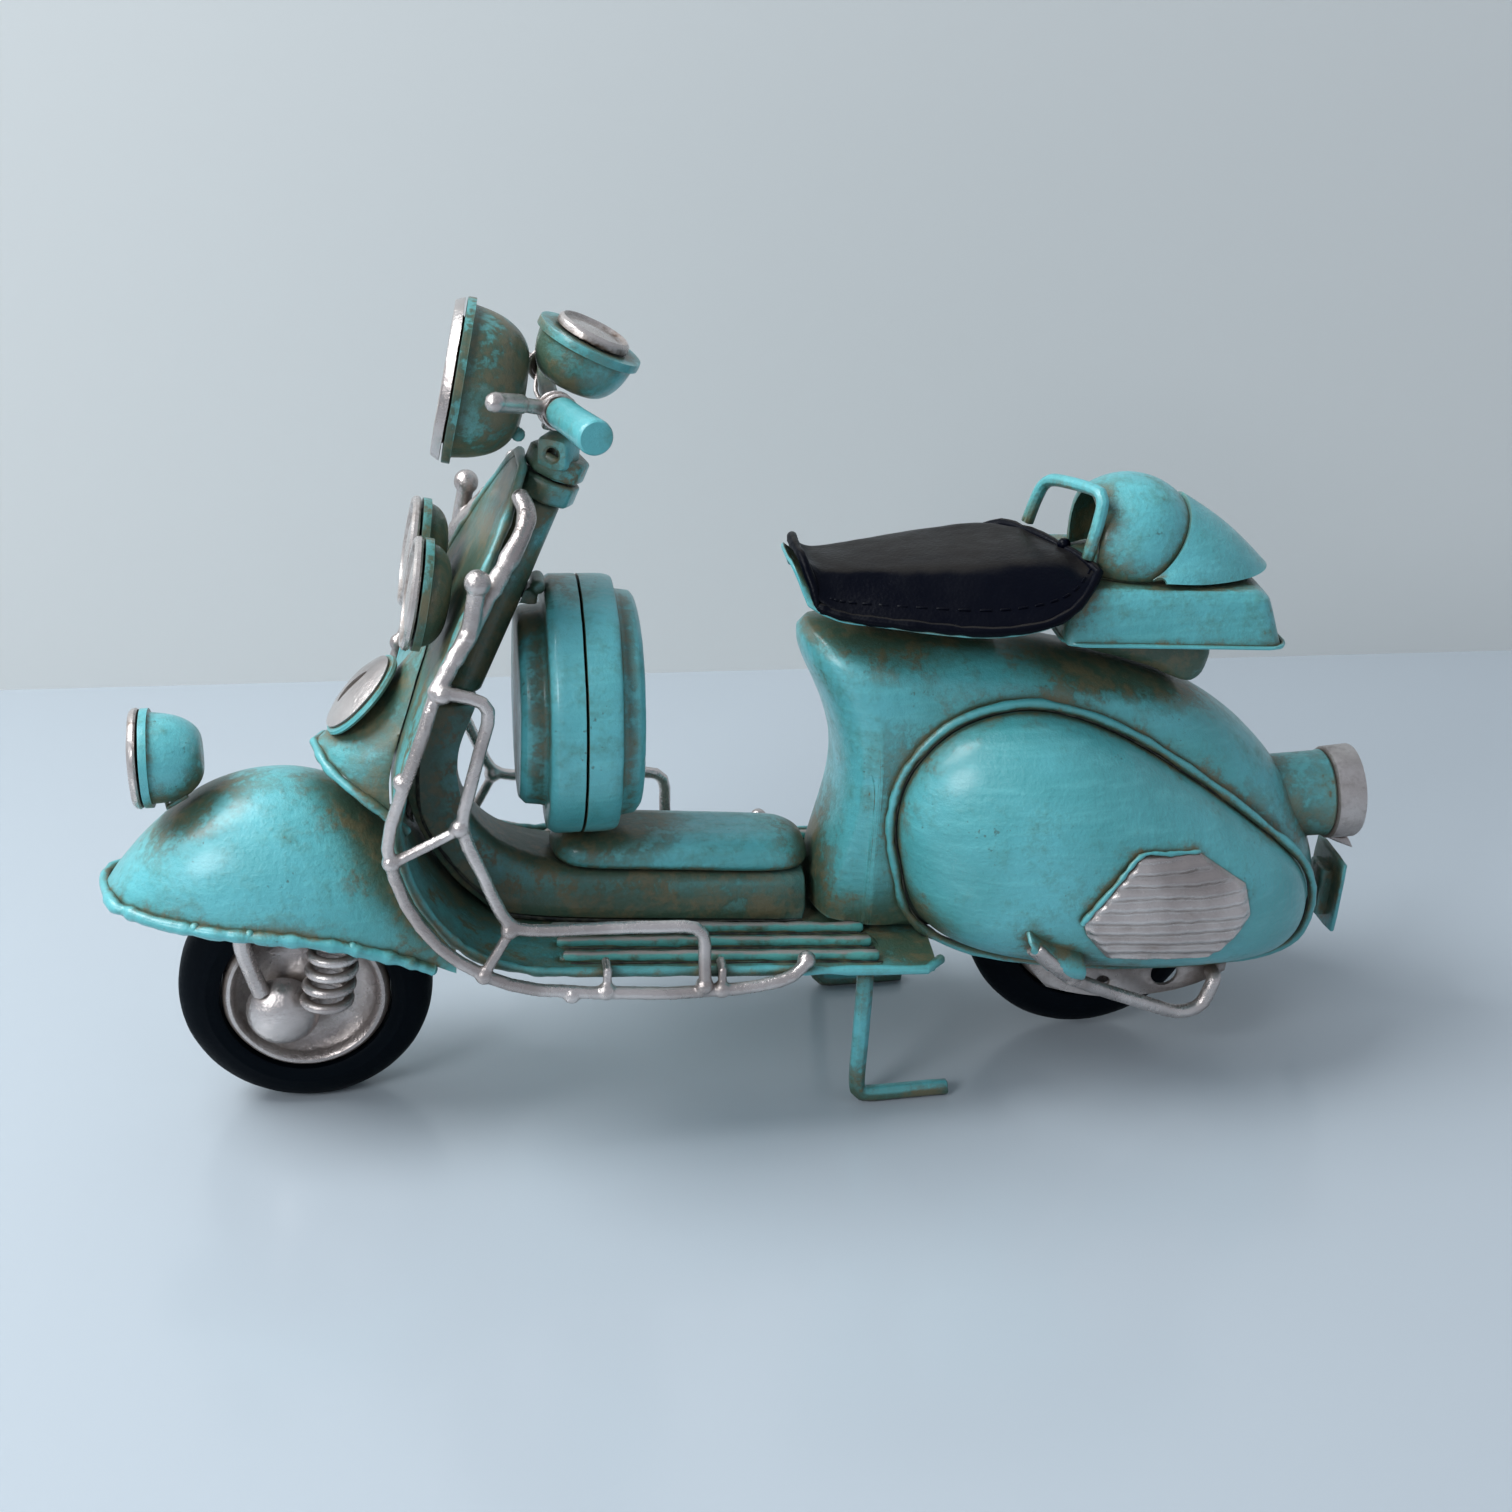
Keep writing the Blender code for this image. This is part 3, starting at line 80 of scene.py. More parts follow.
class Paint:
    """A material and short ways to add nodes to it. Textures use the piece's own coordinates."""

    def __init__(self, name):
        self.material = bpy.data.materials.new(name)
        self.material.use_nodes = True
        self.tree = self.material.node_tree
        self.shader = self.tree.nodes["Principled BSDF"]
        self.place = self.tree.nodes.new("ShaderNodeTexCoord").outputs["Object"]

    def put(self, socket, value):
        if isinstance(value, bpy.types.NodeSocket):
            self.tree.links.new(value, socket)
        elif isinstance(value, tuple) and len(value) == 3 and socket.type == "RGBA":
            socket.default_value = (*value, 1.0)
        else:
            socket.default_value = value

    def noise(self, scale, detail=4.0, stretch=(1.0, 1.0, 1.0), rough=0.55):
        """Cloudy noise; scale is in cells per metre."""
        mapping = self.tree.nodes.new("ShaderNodeMapping")
        mapping.inputs["Scale"].default_value = stretch
        self.tree.links.new(self.place, mapping.inputs["Vector"])
        node = self.tree.nodes.new("ShaderNodeTexNoise")
        node.inputs["Scale"].default_value = scale
        node.inputs["Detail"].default_value = detail
        node.inputs["Roughness"].default_value = rough
        self.tree.links.new(mapping.outputs["Vector"], node.inputs["Vector"])
        return node.outputs["Fac"]

    def cells(self, scale):
        """Distance to the nearest of scattered points."""
        node = self.tree.nodes.new("ShaderNodeTexVoronoi")
        node.inputs["Scale"].default_value = scale
        self.tree.links.new(self.place, node.inputs["Vector"])
        return node.outputs["Distance"]

    def math(self, operation, first, second=0.0):
        node = self.tree.nodes.new("ShaderNodeMath")
        node.operation = operation
        self.put(node.inputs[0], first)
        self.put(node.inputs[1], second)
        return node.outputs[0]

    def total(self, *parts):
        """Weighted sum of (socket, weight) pairs."""
        result = 0.0
        for socket, weight in parts:
            result = self.math("ADD", self.math("MULTIPLY", socket, weight), result)
        return result

    def ramp(self, value, low, high, to_low=0.0, to_high=1.0):
        node = self.tree.nodes.new("ShaderNodeMapRange")
        node.interpolation_type = "SMOOTHSTEP"
        self.put(node.inputs["Value"], value)
        limits = {"From Min": low, "From Max": high, "To Min": to_low, "To Max": to_high}
        for label, number in limits.items():
            node.inputs[label].default_value = number
        return node.outputs["Result"]

    def blend(self, share, first, second):
        node = self.tree.nodes.new("ShaderNodeMix")
        node.data_type = "RGBA"
        self.put(node.inputs[0], share)
        self.put(node.inputs[6], first)
        self.put(node.inputs[7], second)
        return node.outputs[2]

    def recess(self, distance):
        """1 deep in a groove or corner, 0 on open surfaces."""
        node = self.tree.nodes.new("ShaderNodeAmbientOcclusion")
        node.samples = 6
        node.inputs["Distance"].default_value = distance
        return self.math("SUBTRACT", 1.0, node.outputs["AO"])

    def facing(self, axis):
        """Component of the surface normal along a world axis."""
        node = self.tree.nodes.new("ShaderNodeNewGeometry")
        split = self.tree.nodes.new("ShaderNodeSeparateXYZ")
        self.tree.links.new(node.outputs["Normal"], split.inputs["Vector"])
        return split.outputs[axis]

    def tarnish(self):
        """How much more tarnished this piece is, kept in the alpha of its object colour."""
        return self.tree.nodes.new("ShaderNodeObjectInfo").outputs["Alpha"]

    def edge(self):
        """Above 0.5 on outer edges, below in hollows."""
        return self.tree.nodes.new("ShaderNodeNewGeometry").outputs["Pointiness"]

    def bump(self, *layers):
        """Stack of (height socket, depth in metres)."""
        normal = None
        for height, depth in layers:
            node = self.tree.nodes.new("ShaderNodeBump")
            node.inputs["Strength"].default_value = 1.0
            node.inputs["Distance"].default_value = depth
            self.tree.links.new(height, node.inputs["Height"])
            if normal is not None:
                self.tree.links.new(normal, node.inputs["Normal"])
            normal = node.outputs["Normal"]
        self.tree.links.new(normal, self.shader.inputs["Normal"])

    def finish(self, colour, roughness, metallic=0.0, coat=0.0):
        self.put(self.shader.inputs["Base Color"], colour)
        self.put(self.shader.inputs["Roughness"], roughness)
        self.put(self.shader.inputs["Metallic"], metallic)
        self.put(self.shader.inputs["Coat Weight"], coat)
        return self.material


def turquoise_enamel():
    """Brushed-on enamel with an olive patina in patches and flecks; the corners take the patina colours
    through painted shade, the creases are painted near-black as shade, and the lighter edges are partly wear
    and partly painted highlight.
    """
    p = Paint("turquoise_enamel")
    broad = p.noise(45.0, 3.0)
    patches = p.noise(230.0, 8.0, rough=0.70)
    flecks = p.noise(1100.0, 4.0, rough=0.6)
    strokes = p.noise(60.0, 3.0, stretch=(1.0, 6.0, 14.0))
    # recess and groove are ambient occlusion, so what they darken is painted shade
    recess = p.recess(0.0105)
    groove = p.recess(0.0016)
    clean = p.blend(p.ramp(broad, 0.35, 0.65), (0.074, 0.365, 0.385), (0.113, 0.470, 0.515))
    clean = p.blend(p.ramp(strokes, 0.45, 0.75, 0.0, 0.30), clean, (0.16, 0.58, 0.60))
    # Olive patina in patches and flecks, the piece's tarnish, and painted shade where the recess mask is high
    grime_and_shade = p.total((broad, 0.37), (patches, 0.63), (flecks, 0.18), (recess, 0.85), (p.tarnish(), 1.0))
    washed_and_shaded = p.blend(p.ramp(grime_and_shade, 0.58, 0.84, 0.0, 0.80), clean, (0.058, 0.180, 0.130))
    olive = p.blend(p.ramp(patches, 0.44, 0.62), (0.040, 0.062, 0.028), (0.130, 0.090, 0.032))
    stained_and_shaded = p.blend(p.ramp(grime_and_shade, 0.735, 0.80, 0.0, 0.85), washed_and_shaded, olive)
    dots = p.total((p.noise(1300.0, 3.0), 0.55), (p.noise(120.0, 2.0), 0.30), (broad, 0.15))
    dotted = p.blend(p.ramp(dots, 0.615, 0.665, 0.0, 0.65), stained_and_shaded, (0.050, 0.085, 0.060))
    # Painted shade: the creases go near-black
    crease_shade = p.blend(p.ramp(groove, 0.50, 0.85, 0.0, 0.92), dotted, (0.012, 0.012, 0.009))
    # Lighter outer edges: partly edge wear, partly painted highlight
    edge_wear_and_highlight = p.ramp(p.edge(), 0.54, 0.62, 0.0, 0.45)
    colour = p.blend(edge_wear_and_highlight, crease_shade, (0.17, 0.58, 0.58))
    p.bump((strokes, 0.00010), (patches, 0.00034), (flecks, 0.00010))
    p.put(p.shader.inputs["Coat Roughness"], 0.24)
    return p.finish(colour, p.ramp(grime_and_shade, 0.6, 0.9, 0.34, 0.62), 0.0, 0.55)


def silver_paint():
    """Silver brushed on by hand, with a warm brown wash in patches and the same brown painted into the
    hollows as shade.
    """
    p = Paint("silver_paint")
    broad = p.noise(70.0, 3.0)
    patches = p.noise(260.0, 7.0, rough=0.68)
    flecks = p.noise(1300.0, 4.0)
    recess = p.recess(0.0035)
    bright = p.blend(p.ramp(broad, 0.35, 0.65), (0.44, 0.385, 0.365), (0.70, 0.64, 0.615))
    # Patches and flecks of tarnish, plus brown painted shade in the hollows
    grime_and_shade = p.total((patches, 0.60), (flecks, 0.22), (recess, 0.95), (p.tarnish(), 1.0))
    colour = p.blend(p.ramp(grime_and_shade, 0.58, 0.95, 0.0, 0.88), bright, (0.095, 0.062, 0.042))
    p.bump((patches, 0.00028), (flecks, 0.00010))
    roughness = p.ramp(grime_and_shade, 0.45, 0.85, 0.24, 0.58)
    metallic = p.ramp(grime_and_shade, 0.55, 0.95, 0.88, 0.30)
    return p.finish(colour, roughness, metallic)


def black_rubber():
    p = Paint("black_rubber")
    patches = p.noise(120.0, 6.0)
    grain = p.noise(1500.0, 3.0)
    dust = p.total((patches, 0.7), (grain, 0.3))
    colour = p.blend(p.ramp(dust, 0.52, 0.78), (0.0006, 0.0022, 0.0044), (0.005, 0.0075, 0.010))
    p.bump((patches, 0.00015), (grain, 0.00004))
    p.put(p.shader.inputs["Specular IOR Level"], 0.06)
    return p.finish(colour, p.ramp(dust, 0.4, 0.7, 0.48, 0.68))


def seat_leather():
    """Blue-black paint with a fine pebble grain, brownish rubbed patches and strokes, and a painted brownish
    sheen on the upward-facing surfaces.
    """
    p = Paint("seat_leather")
    patches = p.noise(130.0, 6.0, rough=0.62)
    pebble = p.cells(1900.0)
    strokes = p.noise(150.0, 4.0, stretch=(0.25, 1.0, 1.0))
    # Painted sheen: upward-facing surfaces get a lighter brownish black, as if lit from above
    up = p.ramp(p.facing(2), 0.80, 0.98)
    rub_and_top_sheen = p.total((patches, 0.35), (strokes, 0.30), (up, 0.35))
    colour = p.blend(p.ramp(rub_and_top_sheen, 0.46, 0.72), (0.0005, 0.0010, 0.0042), (0.018, 0.016, 0.015))
    p.bump((strokes, 0.00018), (patches, 0.00022), (pebble, 0.00003))
    p.put(p.shader.inputs["Specular IOR Level"], 0.09)
    return p.finish(colour, p.ramp(patches, 0.35, 0.7, 0.30, 0.50))


def dial_paint():
    p = Paint("dial_paint")
    patches = p.noise(220.0, 6.0)
    flecks = p.noise(1400.0, 3.0)
    recess = p.recess(0.002)
    # Dirty patches and flecks, plus brown painted shade in the recesses
    grime_and_shade = p.total((patches, 0.7), (flecks, 0.3), (recess, 0.6))
    colour = p.blend(p.ramp(grime_and_shade, 0.50, 0.78), (0.56, 0.51, 0.485), (0.13, 0.085, 0.06))
    p.bump((patches, 0.00008), (flecks, 0.00004))
    return p.finish(colour, p.ramp(grime_and_shade, 0.4, 0.8, 0.22, 0.5), 0.7)


def tail_red():
    p = Paint("tail_red")
    patches = p.noise(260.0, 5.0)
    ribs = p.noise(900.0, 2.0)
    colour = p.blend(p.ramp(patches, 0.35, 0.7), (0.42, 0.015, 0.012), (0.16, 0.008, 0.008))
    p.bump((patches, 0.00006), (ribs, 0.00003))
    return p.finish(colour, p.ramp(patches, 0.3, 0.7, 0.12, 0.32), 0.0, 0.6)


def settled_wash():
    """Near-black brown wash that has run into the seams."""
    p = Paint("settled_wash")
    patches = p.noise(900.0, 4.0)
    colour = p.blend(p.ramp(patches, 0.4, 0.65), (0.006, 0.006, 0.005), (0.045, 0.045, 0.030))
    p.bump((patches, 0.0001))
    return p.finish(colour, p.ramp(patches, 0.3, 0.7, 0.45, 0.7))


def strip_paint():
    """Turquoise rubbed through to silver along the top."""
    p = Paint("strip_paint")
    patches = p.noise(300.0, 6.0, rough=0.65)
    drags = p.noise(200.0, 4.0, stretch=(0.2, 1.0, 1.0))
    top = p.total((p.facing(2), 0.5), (patches, 0.35), (drags, 0.45))
    under = p.blend(p.ramp(patches, 0.45, 0.7), (0.080, 0.330, 0.300), (0.070, 0.100, 0.060))
    share = p.ramp(top, 0.72, 0.90)
    colour = p.blend(share, under, (0.42, 0.36, 0.33))
    p.bump((drags, 0.0002), (patches, 0.0002))
    return p.finish(colour, 0.42, p.ramp(share, 0.0, 1.0, 0.0, 0.6))


FINISHES = {
    "wash": settled_wash(),
    "strip": strip_paint(),
    "turquoise": turquoise_enamel(),
    "silver": silver_paint(),
    "tyre": black_rubber(),
    "seat_black": seat_leather(),
    "dial": dial_paint(),
    "tail_red": tail_red(),
}


# How much more (or less) tarnished than the rest some pieces are, on both sides alike.
TARNISH = {
    "headlight_bowl": 0.215, "headlight_ring": 0.05, "speedometer_bowl": 0.08,
    "stem": 0.12, "column_nut": 0.08, "steering_column": 0.10, "spot_lamp_bowl": 0.19,
    "leg_shield_floor": 0.11, "tunnel": 0.14, "tunnel_pad": 0.05, "nose_cover": 0.07,
    "crash_bar": 0.07, "fork": 0.10, "front_spring_coil": 0.10, "hub_dome": -0.16,
    "front_rim_pressed": 0.13, "rear_rim_pressed": 0.10,
    "spare_bracket": 0.12, "spare_cover_front": -0.04, "spare_cover_back": 0.03,
    "rear_body": 0.03, "cowl": -0.05, "grille_ribbed": -0.14,
    "engine_plate": 0.16, "kick_lever": 0.12, "centre_stand": -0.03,
    "seat_support": 0.15, "rear_box": 0.05, "box_stand": 0.25, "helmet_dome": 0.03,
    "tail_light_barrel": 0.05, "tail_light_band": 0.24,
}


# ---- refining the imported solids

def body_of(node):
    return frame["nodes"][node]["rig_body"]


def slot_of(node):
    """The record's material slot of a node."""
    name = frame["nodes"][node].data.materials[0].name
    return name.split(".")[0]


def wobble(mesh, amount, size):
    """Uneven hand-beaten metal: moves both faces of a sheet together, so it keeps its thickness."""
    for vert in mesh.vertices:
        vert.co += noise.noise_vector(vert.co / (size * MM)) * (amount * MM)


MERGE = 0.01 * MM  # corners closer than this are one corner
FOLD_ANGLE = math.radians(32.0)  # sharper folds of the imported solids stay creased
CREASE = 0.8
SOFT_CREASES = {"box_stand": 0.35, "seat_support": 0.35, "tunnel_pad": 0.4}


def packed_solid(node):
    bm = bmesh.new()
    bm.from_mesh(frame["nodes"][node].data)
    bmesh.ops.remove_doubles(bm, verts=bm.verts, dist=MERGE)
    return bm


def refined(node):
    """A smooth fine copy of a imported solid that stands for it."""
    bm = packed_solid(node)
    bmesh.ops.join_triangles(bm, faces=bm.faces, angle_face_threshold=math.radians(50.0),
                             angle_shape_threshold=math.radians(70.0))
    bmesh.ops.recalc_face_normals(bm, faces=bm.faces)
    crease = SOFT_CREASES.get(node, CREASE)
    layer = bm.edges.layers.float.new("crease_edge")
    for edge in bm.edges:
        if len(edge.link_faces) == 2 and edge.calc_face_angle() > FOLD_ANGLE:
            edge[layer] = crease
    piece = new_piece(node + "_finish", bm)
    subdivide(piece, 2)
    freeze(piece)
    wobble(piece.data, 0.12, 11.0)
    wobble(piece.data, 0.036, 2.6)
    return stand_for(piece, node)


def melted(node, voxel, swell, rounds, extra=None):
    """A soldered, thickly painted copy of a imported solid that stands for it, with extra solder if given."""
    bm = packed_solid(node)
    if extra:
        extra.transform(LEVEL)
        bmesh.ops.recalc_face_normals(extra, faces=extra.faces)
        solder = bpy.data.meshes.new("solder")
        extra.to_mesh(solder)
        extra.free()
        bm.from_mesh(solder)
    piece = new_piece(node + "_finish", bm)
    skin = piece.modifiers.new("skin", "REMESH")
    skin.mode = "VOXEL"
    skin.voxel_size = voxel * MM
    fair = piece.modifiers.new("fair", "SMOOTH")
    fair.factor = 0.5
    fair.iterations = rounds
    grow = piece.modifiers.new("grow", "DISPLACE")
    grow.mid_level = 0.0
    grow.strength = swell * MM
    freeze(piece)
    wobble(piece.data, 0.12, 5.0)
    return stand_for(piece, node)


def new_piece(name, bm):
    mesh = bpy.data.meshes.new(name)
    bm.to_mesh(mesh)
    bm.free()
    piece = bpy.data.objects.new(name, mesh)
    bpy.context.scene.collection.objects.link(piece)
    return piece


def subdivide(piece, levels):
    smooth = piece.modifiers.new("smooth", "SUBSURF")
    smooth.levels = smooth.render_levels = levels


def thicken(piece, thickness, levels=0):
    """Give an open sheet its thickness, the same on both faces, and round it if levels are given."""
    thick = piece.modifiers.new("thick", "SOLIDIFY")
    thick.thickness = thickness * MM
    thick.offset = 0.0
    if levels:
        subdivide(piece, levels)
    freeze(piece)


def freeze(piece):
    """Apply the piece's modifiers."""
    seen = piece.evaluated_get(bpy.context.evaluated_depsgraph_get())
    mesh = bpy.data.meshes.new_from_object(seen)
    piece.modifiers.clear()
    piece.data = mesh


def shade(piece, slot, angle=38.0):
    piece.data.shade_smooth()
    piece.data.set_sharp_from_angle(angle=math.radians(angle))
    piece.data.materials.clear()
    piece.data.materials.append(FINISHES[slot])
    name = piece.name.removesuffix("_finish").removesuffix("_left").removesuffix("_right")
    piece.color = (1.0, 1.0, 1.0, TARNISH.get(name, 0.0))


def stand_for(piece, node):
    shade(piece, slot_of(node))
    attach(piece, body_of(node))
    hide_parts(node)
    return piece


# ---- shapes in the level drawing

def curve(points, steps=6, closed=False):
    """Catmull-Rom curve through points of the level drawing."""
    points = [Vector(point) for point in points]
    count = len(points)
    spans = count if closed else count - 1
    line = []
    for i in range(spans):
        p1, p2 = points[i], points[(i + 1) % count]
        p0 = points[(i - 1) % count] if closed or i > 0 else p1 * 2 - p2
        p3 = points[(i + 2) % count] if closed or i < spans - 1 else p2 * 2 - p1
        for k in range(steps):
            t = k / steps
            line.append(0.5 * ((2 * p1) + (p2 - p0) * t + (2 * p0 - 5 * p1 + 4 * p2 - p3) * t * t
                               + (3 * p1 - p0 - 3 * p2 + p3) * t ** 3))
    if not closed:
        line.append(points[-1])
    return line


def ribbon(bm, rings, closed=True):
    """Quads between rows of vertices."""
    for ring_a, ring_b in zip(rings, rings[1:]):
        count = len(ring_a)
        for k in range(count if closed else count - 1):
            n = (k + 1) % count
            bm.faces.new((ring_a[k], ring_a[n], ring_b[n], ring_b[k]))


def spokes(side, other, count):
    """Unit directions round a circle, from one axis to another."""
    angles = (2 * math.pi * k / count for k in range(count))
    return [side * math.cos(angle) + other * math.sin(angle) for angle in angles]


def add_rod(bm, path, radius, sides=12, closed=False, lumps=0.0):
    """A wire along a path, with rounded ends; lumps makes its thickness uneven."""
    path = [Vector(point) for point in path]
    count = len(path)
    heading = (path[1] - path[0]).normalized()
    side = heading.orthogonal().normalized()
    rings = []
    for i, point in enumerate(path):
        ahead = path[(i + 1) % count] if closed else path[min(i + 1, count - 1)]
        behind = path[i - 1] if closed else path[max(i - 1, 0)]
        turned = (ahead - behind).normalized()
        side = (heading.rotation_difference(turned) @ side).normalized()
        side = (side - turned * side.dot(turned)).normalized()
        heading = turned
        other = heading.cross(side)
        thick = radius * (1.0 + lumps * noise.noise(point * 0.7))
        rings.append([bm.verts.new(point + spoke * thick) for spoke in spokes(side, other, sides)])
    if closed:
        best = min(range(sides), key=lambda k: (rings[0][k].co - rings[-1][0].co).length)
        ribbon(bm, rings)
        ribbon(bm, [rings[-1], rings[0][best:] + rings[0][:best]])
        return
    ribbon(bm, rings)
    for ring, point, sign in ((rings[0], path[0], -1), (rings[-1], path[-1], 1)):
        heading = (path[1] - path[0]) if sign < 0 else (path[-1] - path[-2])
        heading.normalize()
        outward = heading * (sign * radius * 0.45)
        cap = [bm.verts.new(point + (vert.co - point) * 0.7 + outward) for vert in ring]
        ribbon(bm, [ring, cap])
        bm.faces.new(cap)


def add_lathe(bm, profile, centre, axis, sides=72):
    """A turned solid; the profile is a closed list of (distance along axis, radius)."""
    axis = Vector(axis).normalized()
    side = axis.orthogonal().normalized()
    other = axis.cross(side)
    rings = []
    for along, radius in profile:
        base = Vector(centre) + axis * along
        radius = max(radius, 0.001)
        rings.append([bm.verts.new(base + spoke * radius) for spoke in spokes(side, other, sides)])
    ribbon(bm, rings + rings[:1])
    bmesh.ops.remove_doubles(bm, verts=bm.verts, dist=0.004)


def add_ball(bm, centre, radius):
    bmesh.ops.create_icosphere(bm, subdivisions=2, radius=radius, matrix=Matrix.Translation(Vector(centre)))


def mirrored(points, sign):
    """Points drawn for the left side, or carried to the right for sign -1."""
    return [Vector((point[0], point[1] * sign, point[2])) for point in points]


def place(name, bm, slot, body, uneven=0.0, replaces=(), angle=38.0):
    """Carry a bmesh from the level drawing into the frame, as a finished piece."""
    bmesh.ops.recalc_face_normals(bm, faces=bm.faces)
    bm.transform(LEVEL)
    piece = new_piece(name, bm)
    if uneven:
        wobble(piece.data, uneven, 5.0)
    shade(piece, slot, angle)
    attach(piece, body)
    if replaces:
        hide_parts(*replaces)
    return piece


SIDES = (("left", 1), ("right", -1))


# ---- shield and floor

FLOOR_TOP = 33.3
FLOOR_END = 31.5
FLOOR_HALF = 22.5
FLOOR_CORNER = 3.0
SHIELD_TAPER = 60.0  # the shield narrows above this height
SHIELD_RISE = 41.5  # and closes this much higher


def shield_line():
    """Middle of the shield's sheet in side view, from its top to the end of the floor."""
    return curve([(-31.2, 0, 100.6), (-36.2, 0, 89.2), (-41.5, 0, 77.2), (-45.9, 0, 64.1), (-47.4, 0, 55.5),
                  (-45.9, 0, 47.8), (-42.0, 0, 40.7), (-36.3, 0, 35.4), (-29.0, 0, 33.1), (-22.0, 0, 32.8),
                  (-4.0, 0, 32.8), (14.0, 0, 32.8), (FLOOR_END, 0, 32.8)])


def shield_half(x, z):
    """Half width of the shield and floor."""
    into_corner = x - (FLOOR_END - FLOOR_CORNER)
    if into_corner > 0.0:
        return FLOOR_HALF - FLOOR_CORNER + math.sqrt(max(0.0, FLOOR_CORNER ** 2 - into_corner ** 2))
    if z < SHIELD_TAPER:
        return FLOOR_HALF
    rise = (z - SHIELD_TAPER) / SHIELD_RISE
    return FLOOR_HALF * math.sqrt(max(0.0, 1.0 - rise ** 1.3))


def rolled_edges():
    """Rolled rim round the shield and floor, and the seam beside it."""
    edge = [Vector((point.x, -shield_half(point.x, point.z), point.z)) for point in shield_line()]
    for name, radius, inset, slot in (("shield_rim", 0.72, 0.1, "turquoise"),
                                      ("shield_rim_seam", 0.2, 1.0, "wash")):
        path = [point + Vector((0.35, inset, 0.35)) for point in edge]
        whole = path[::-1] + [Vector((point.x, -point.y, point.z)) for point in path]
        bm = bmesh.new()
        add_rod(bm, whole, radius, 10, lumps=0.5)
        place(name, bm, slot, "frame", 0.1)


def tread_strips():
    """Raised strips on the floor, silver rubbed through, with wash settled beside them."""
    for side, sign in SIDES:
        strips, seams = bmesh.new(), bmesh.new()
        for number, y in enumerate((11.0, 15.2, 19.3)):
            front = Vector((-24.3 + number * 0.6, -y * sign, FLOOR_TOP + 0.55))
            back = Vector((21.3 + number * 0.4, -y * sign, FLOOR_TOP + 0.55))
            path = [front.lerp(back, k / 24) for k in range(25)]
            add_rod(strips, path, 0.82, 10, lumps=0.25)
            seam = [(x + 0.8, yy - 1.05 * sign, FLOOR_TOP + 0.02) for x, yy, _ in path]
            add_rod(seams, seam, 0.20, 6, lumps=0.9)
        place("tread_strips_" + side, strips, "strip", "frame", 0.08)
        place("tread_seams_" + side, seams, "wash", "frame", 0.08)


def tunnel_seams():
    """Wash along the foot of the tunnel and under its pad."""
    foot = curve([(-44.0, -3.9, 60.0), (-43.6, -4.6, 49.2), (-39.6, -6.0, 42.6), (-34.4, -7.6, 37.6),
                  (-27.0, -8.3, 34.0), (13.0, -8.6, FLOOR_TOP + 0.2)])
    for side, sign in SIDES:
        bm = bmesh.new()
        add_rod(bm, mirrored(foot, sign), 0.28, 6, lumps=0.6)
        place("tunnel_seam_" + side, bm, "wash", "frame", 0.08)


# ---- nose and horn

def nose_bead():
    """Rolled bead round the lower edge of the nose cover."""
    edge = curve([(-58.6, 0.0, 58.2), (-56.6, -5.6, 56.8), (-52.9, -8.9, 54.7), (-48.4, -10.9, 51.9),
                  (-45.6, -11.6, 49.6)])
    bm = bmesh.new()
    add_rod(bm, edge[::-1] + mirrored(edge[1:], -1), 0.75, 12, lumps=0.4)
    place("nose_bead", bm, "turquoise", "frame", 0.1)


def horn():
    """Domed silver cap with an oval slot, on a turquoise back plate."""
    low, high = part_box("horn_disc")
    middle = UNLEVEL @ ((low + high) / 2)
    axis = Vector((-0.75, 0.0, 0.66)).normalized()
    along = Vector((-axis.z, 0.0, axis.x)).normalized()
    across = Vector((0.0, 1.0, 0.0))
    plate = bmesh.new()
    profile = [(-0.7, 0.0), (-0.7, 6.9), (-0.3, 7.15), (0.1, 6.95), (0.25, 6.4), (0.2, 0.0)]
    add_lathe(plate, profile, middle, axis)
    place("horn_plate", plate, "turquoise", "frame", 0.06, replaces=("horn_disc",))
    cap = bmesh.new()
    sides, rim_radius, rings = 72, 6.3, []
    for share in (0.0, 0.1, 0.3, 0.5, 0.7, 0.85, 0.95, 1.0):
        ring = []
        for k in range(sides):
            angle = 2 * math.pi * k / sides
            slot = Vector((3.0 * math.cos(angle), 0.85 * math.sin(angle)))
            rim = Vector((math.cos(angle), math.sin(angle))) * rim_radius
            flat = slot.lerp(rim, share)
            rise = 1.5 - 1.2 * (flat.length / rim_radius) ** 2.2
            ring.append(cap.verts.new(middle + along * flat.x + across * flat.y + axis * rise))
        rings.append(ring)
    ribbon(cap, rings)
    piece = place("horn_cap", cap, "silver", "frame")
    thicken(piece, 0.7)
    wobble(piece.data, 0.08, 4.0)
    shade(piece, "silver")


# ---- lamps and steering details

def direction(pitch):
    """Straight ahead, raised by the pitch in degrees."""
    angle = math.radians(pitch)
    return Vector((-math.cos(angle), 0.0, math.sin(angle)))


def lamp_glass(name, node, centre, axis, radius):
    """Silvered front: rolled bezel, groove and a fluted, gently domed reflector."""
    bezel = [(0.3, 0.0), (0.3, 0.97), (0.6, 1.0), (1.1, 0.99), (1.45, 0.94), (1.4, 0.87), (0.9, 0.82),
             (0.75, 0.78)]
    profile = [(along, radius * share) for along, share in bezel]
    glass, flutes = 0.76, 8
    for k in range(flutes + 1):
        inward = 1 - k / flutes
        profile.append((0.85 + 0.55 * (1 - inward ** 2) + 0.05 * (k % 2), radius * glass * inward))
    bm = bmesh.new()
    add_lathe(bm, profile, centre, axis, 96)
    place(name, bm, "dial", "frame", 0.07, replaces=(node,))


def lamps():
    for side, sign in SIDES:
        middle = (-44.7, -8.3 * sign, 84.2)
        lamp_glass("spot_lamp_glass_" + side, "spot_lamp_front_" + side, middle, direction(7.5), 7.9)
    lamp_glass("fender_lamp_glass", "fender_lamp_front", (-82.4, 0.0, 55.3), direction(-4.0), 7.2)


